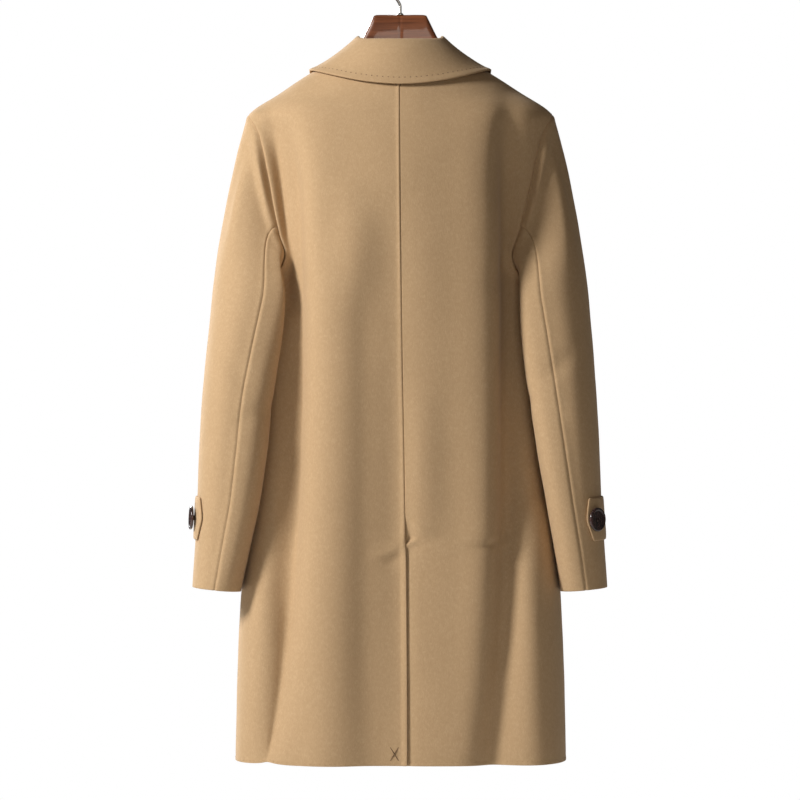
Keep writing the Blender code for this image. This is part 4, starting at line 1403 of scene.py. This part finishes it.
def hook():
    """The wire hook: a stem, a bend and most of a ring round the rail."""
    radius = HOOK_RADIUS + WIRE_RADIUS
    centre = Vector((0, 0, -HOOK_RADIUS))

    def on_ring(turn):
        return centre + Vector((math.cos(turn), 0, math.sin(turn))) * radius

    stem = [Vector((0, 0, blend(HANGER[0][1] + RAIL_GAP, STEM_TOP, k / 3))) for k in range(4)]
    low = math.radians(HOOK_STEM_TURN)
    climb = Vector((-math.sin(low), 0, math.cos(low))) * radius
    bend = [hermite(stem[-1], Vector((0, 0, radius)), on_ring(low), -climb, k / 14) for k in range(1, 14)]
    ring = [on_ring(math.radians(blend(HOOK_STEM_TURN, HOOK_TIP_TURN, k / 72))) for k in range(73)]
    tubes("wire_hook", [stem + bend + ring], WIRE_RADIUS, STEEL, ("hanger_hook",))
    ferrule = turned([(reach, HANGER[0][1] + up) for reach, up in FERRULE], 40)
    add_piece("hook_ferrule", mesh_from("hook_ferrule", ferrule, 40), STEEL)


# ---------------------------------------------------------------- the room

CAMERA_REACH = 5.0
SENSOR_WIDTH = 36.0
VIEW_WIDTH = 1.12
VIEW_X = 0.0004
VIEW_HEIGHT = -0.607
FLOOR_HEIGHT = -1.45
FLOOR_RADIUS = 2.3
ROOM_TINT = (1.0, 0.90, 0.78, 1)
ROOM_LIGHT = 0.08

# Lamps: place, target, size, power, colour
LAMPS = {
    "key": ((2.5, 1.40, 0.95), (0, 0, -0.40), 0.75, 127.0, (1.0, 0.985, 0.95)),
    "fill": ((-0.8, 4.2, 0.2), (0, 0, -0.6), 2.0, 18.0, (1.0, 0.93, 0.84)),
    "front_fill": ((1.8, -3.0, 0.6), (0, 0, -0.6), 1.4, 120.0, (1, 1, 1)),
}


def aim(made, target):
    made.rotation_euler = (Vector(target) - made.location).to_track_quat("-Z", "Y").to_euler()


def area_light(name, place, target, size, power, colour):
    data = bpy.data.lights.new(name, "AREA")
    data.shape = "DISK"
    data.size = size
    data.energy = power
    data.color = colour
    made = linked(name, data)
    made.location = place
    aim(made, target)


def studio():
    scene = bpy.context.scene
    scene.view_settings.view_transform = "Standard"
    world = bpy.data.worlds.new("pale_room")
    world.use_nodes = True
    scene.world = world
    tree = world.node_tree
    seen, fill = tree.nodes["Background"], tree.nodes.new("ShaderNodeBackground")
    for node, colour, strength in ((seen, (1, 1, 1, 1), 1.0), (fill, ROOM_TINT, ROOM_LIGHT)):
        node.inputs["Color"].default_value = colour
        node.inputs["Strength"].default_value = strength
    path = tree.nodes.new("ShaderNodeLightPath")
    mix = tree.nodes.new("ShaderNodeMixShader")
    tree.links.new(path.outputs["Is Camera Ray"], mix.inputs[0])
    tree.links.new(fill.outputs[0], mix.inputs[1])
    tree.links.new(seen.outputs[0], mix.inputs[2])
    tree.links.new(mix.outputs[0], tree.nodes["World Output"].inputs["Surface"])

    bm = bmesh.new()
    bmesh.ops.create_circle(bm, cap_ends=True, segments=96, radius=FLOOR_RADIUS)
    bmesh.ops.translate(bm, verts=bm.verts, vec=(0, 0, FLOOR_HEIGHT))
    floor = linked("studio_floor", mesh_from("studio_floor", bm))
    floor.data.materials.append(plain_finish("pale_floor", (0.86, 0.86, 0.85), 0.8))

    for name, lamp in LAMPS.items():
        area_light(name, *lamp)


def camera():
    data = bpy.data.cameras.new("camera")
    data.sensor_width = SENSOR_WIDTH
    data.lens = SENSOR_WIDTH * CAMERA_REACH / VIEW_WIDTH
    made = linked("camera", data)
    made.location = (VIEW_X, CAMERA_REACH, VIEW_HEIGHT)
    aim(made, (VIEW_X, 0, VIEW_HEIGHT))
    bpy.context.scene.camera = made


def overcoat():
    for side in (LEFT, RIGHT):
        for face in (BACK, FRONT):
            made, points = body_panel(side, face)
            name = f"hem_stitches_{FACE_WORD[face]}_{SIDE_WORD[side]}"
            stitches(name, [hem_stitch_path(points)], *HEM_STITCH)
        for part in ("upper", "under"):
            sleeve_panel(side, part)
        sleeve_tab(side)
        seam_end_tack(side)
    made, points = collar()
    paths = [collar_stitch_path(points), collar_end_path(points, 1, 1), collar_end_path(points, -2, -1)]
    stitches("collar_pick_stitches", paths, *PICK, PICK_STITCH)
    vent_tack()


camera()
studio()
overcoat()
horn_button = button_mesh()
for name in sorted(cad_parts):
    if "button" in name:
        button(name, horn_button)
for number, height in enumerate(FRONT_BUTTONS, 1):
    buttonhole(number, height)
hanger()
hook()
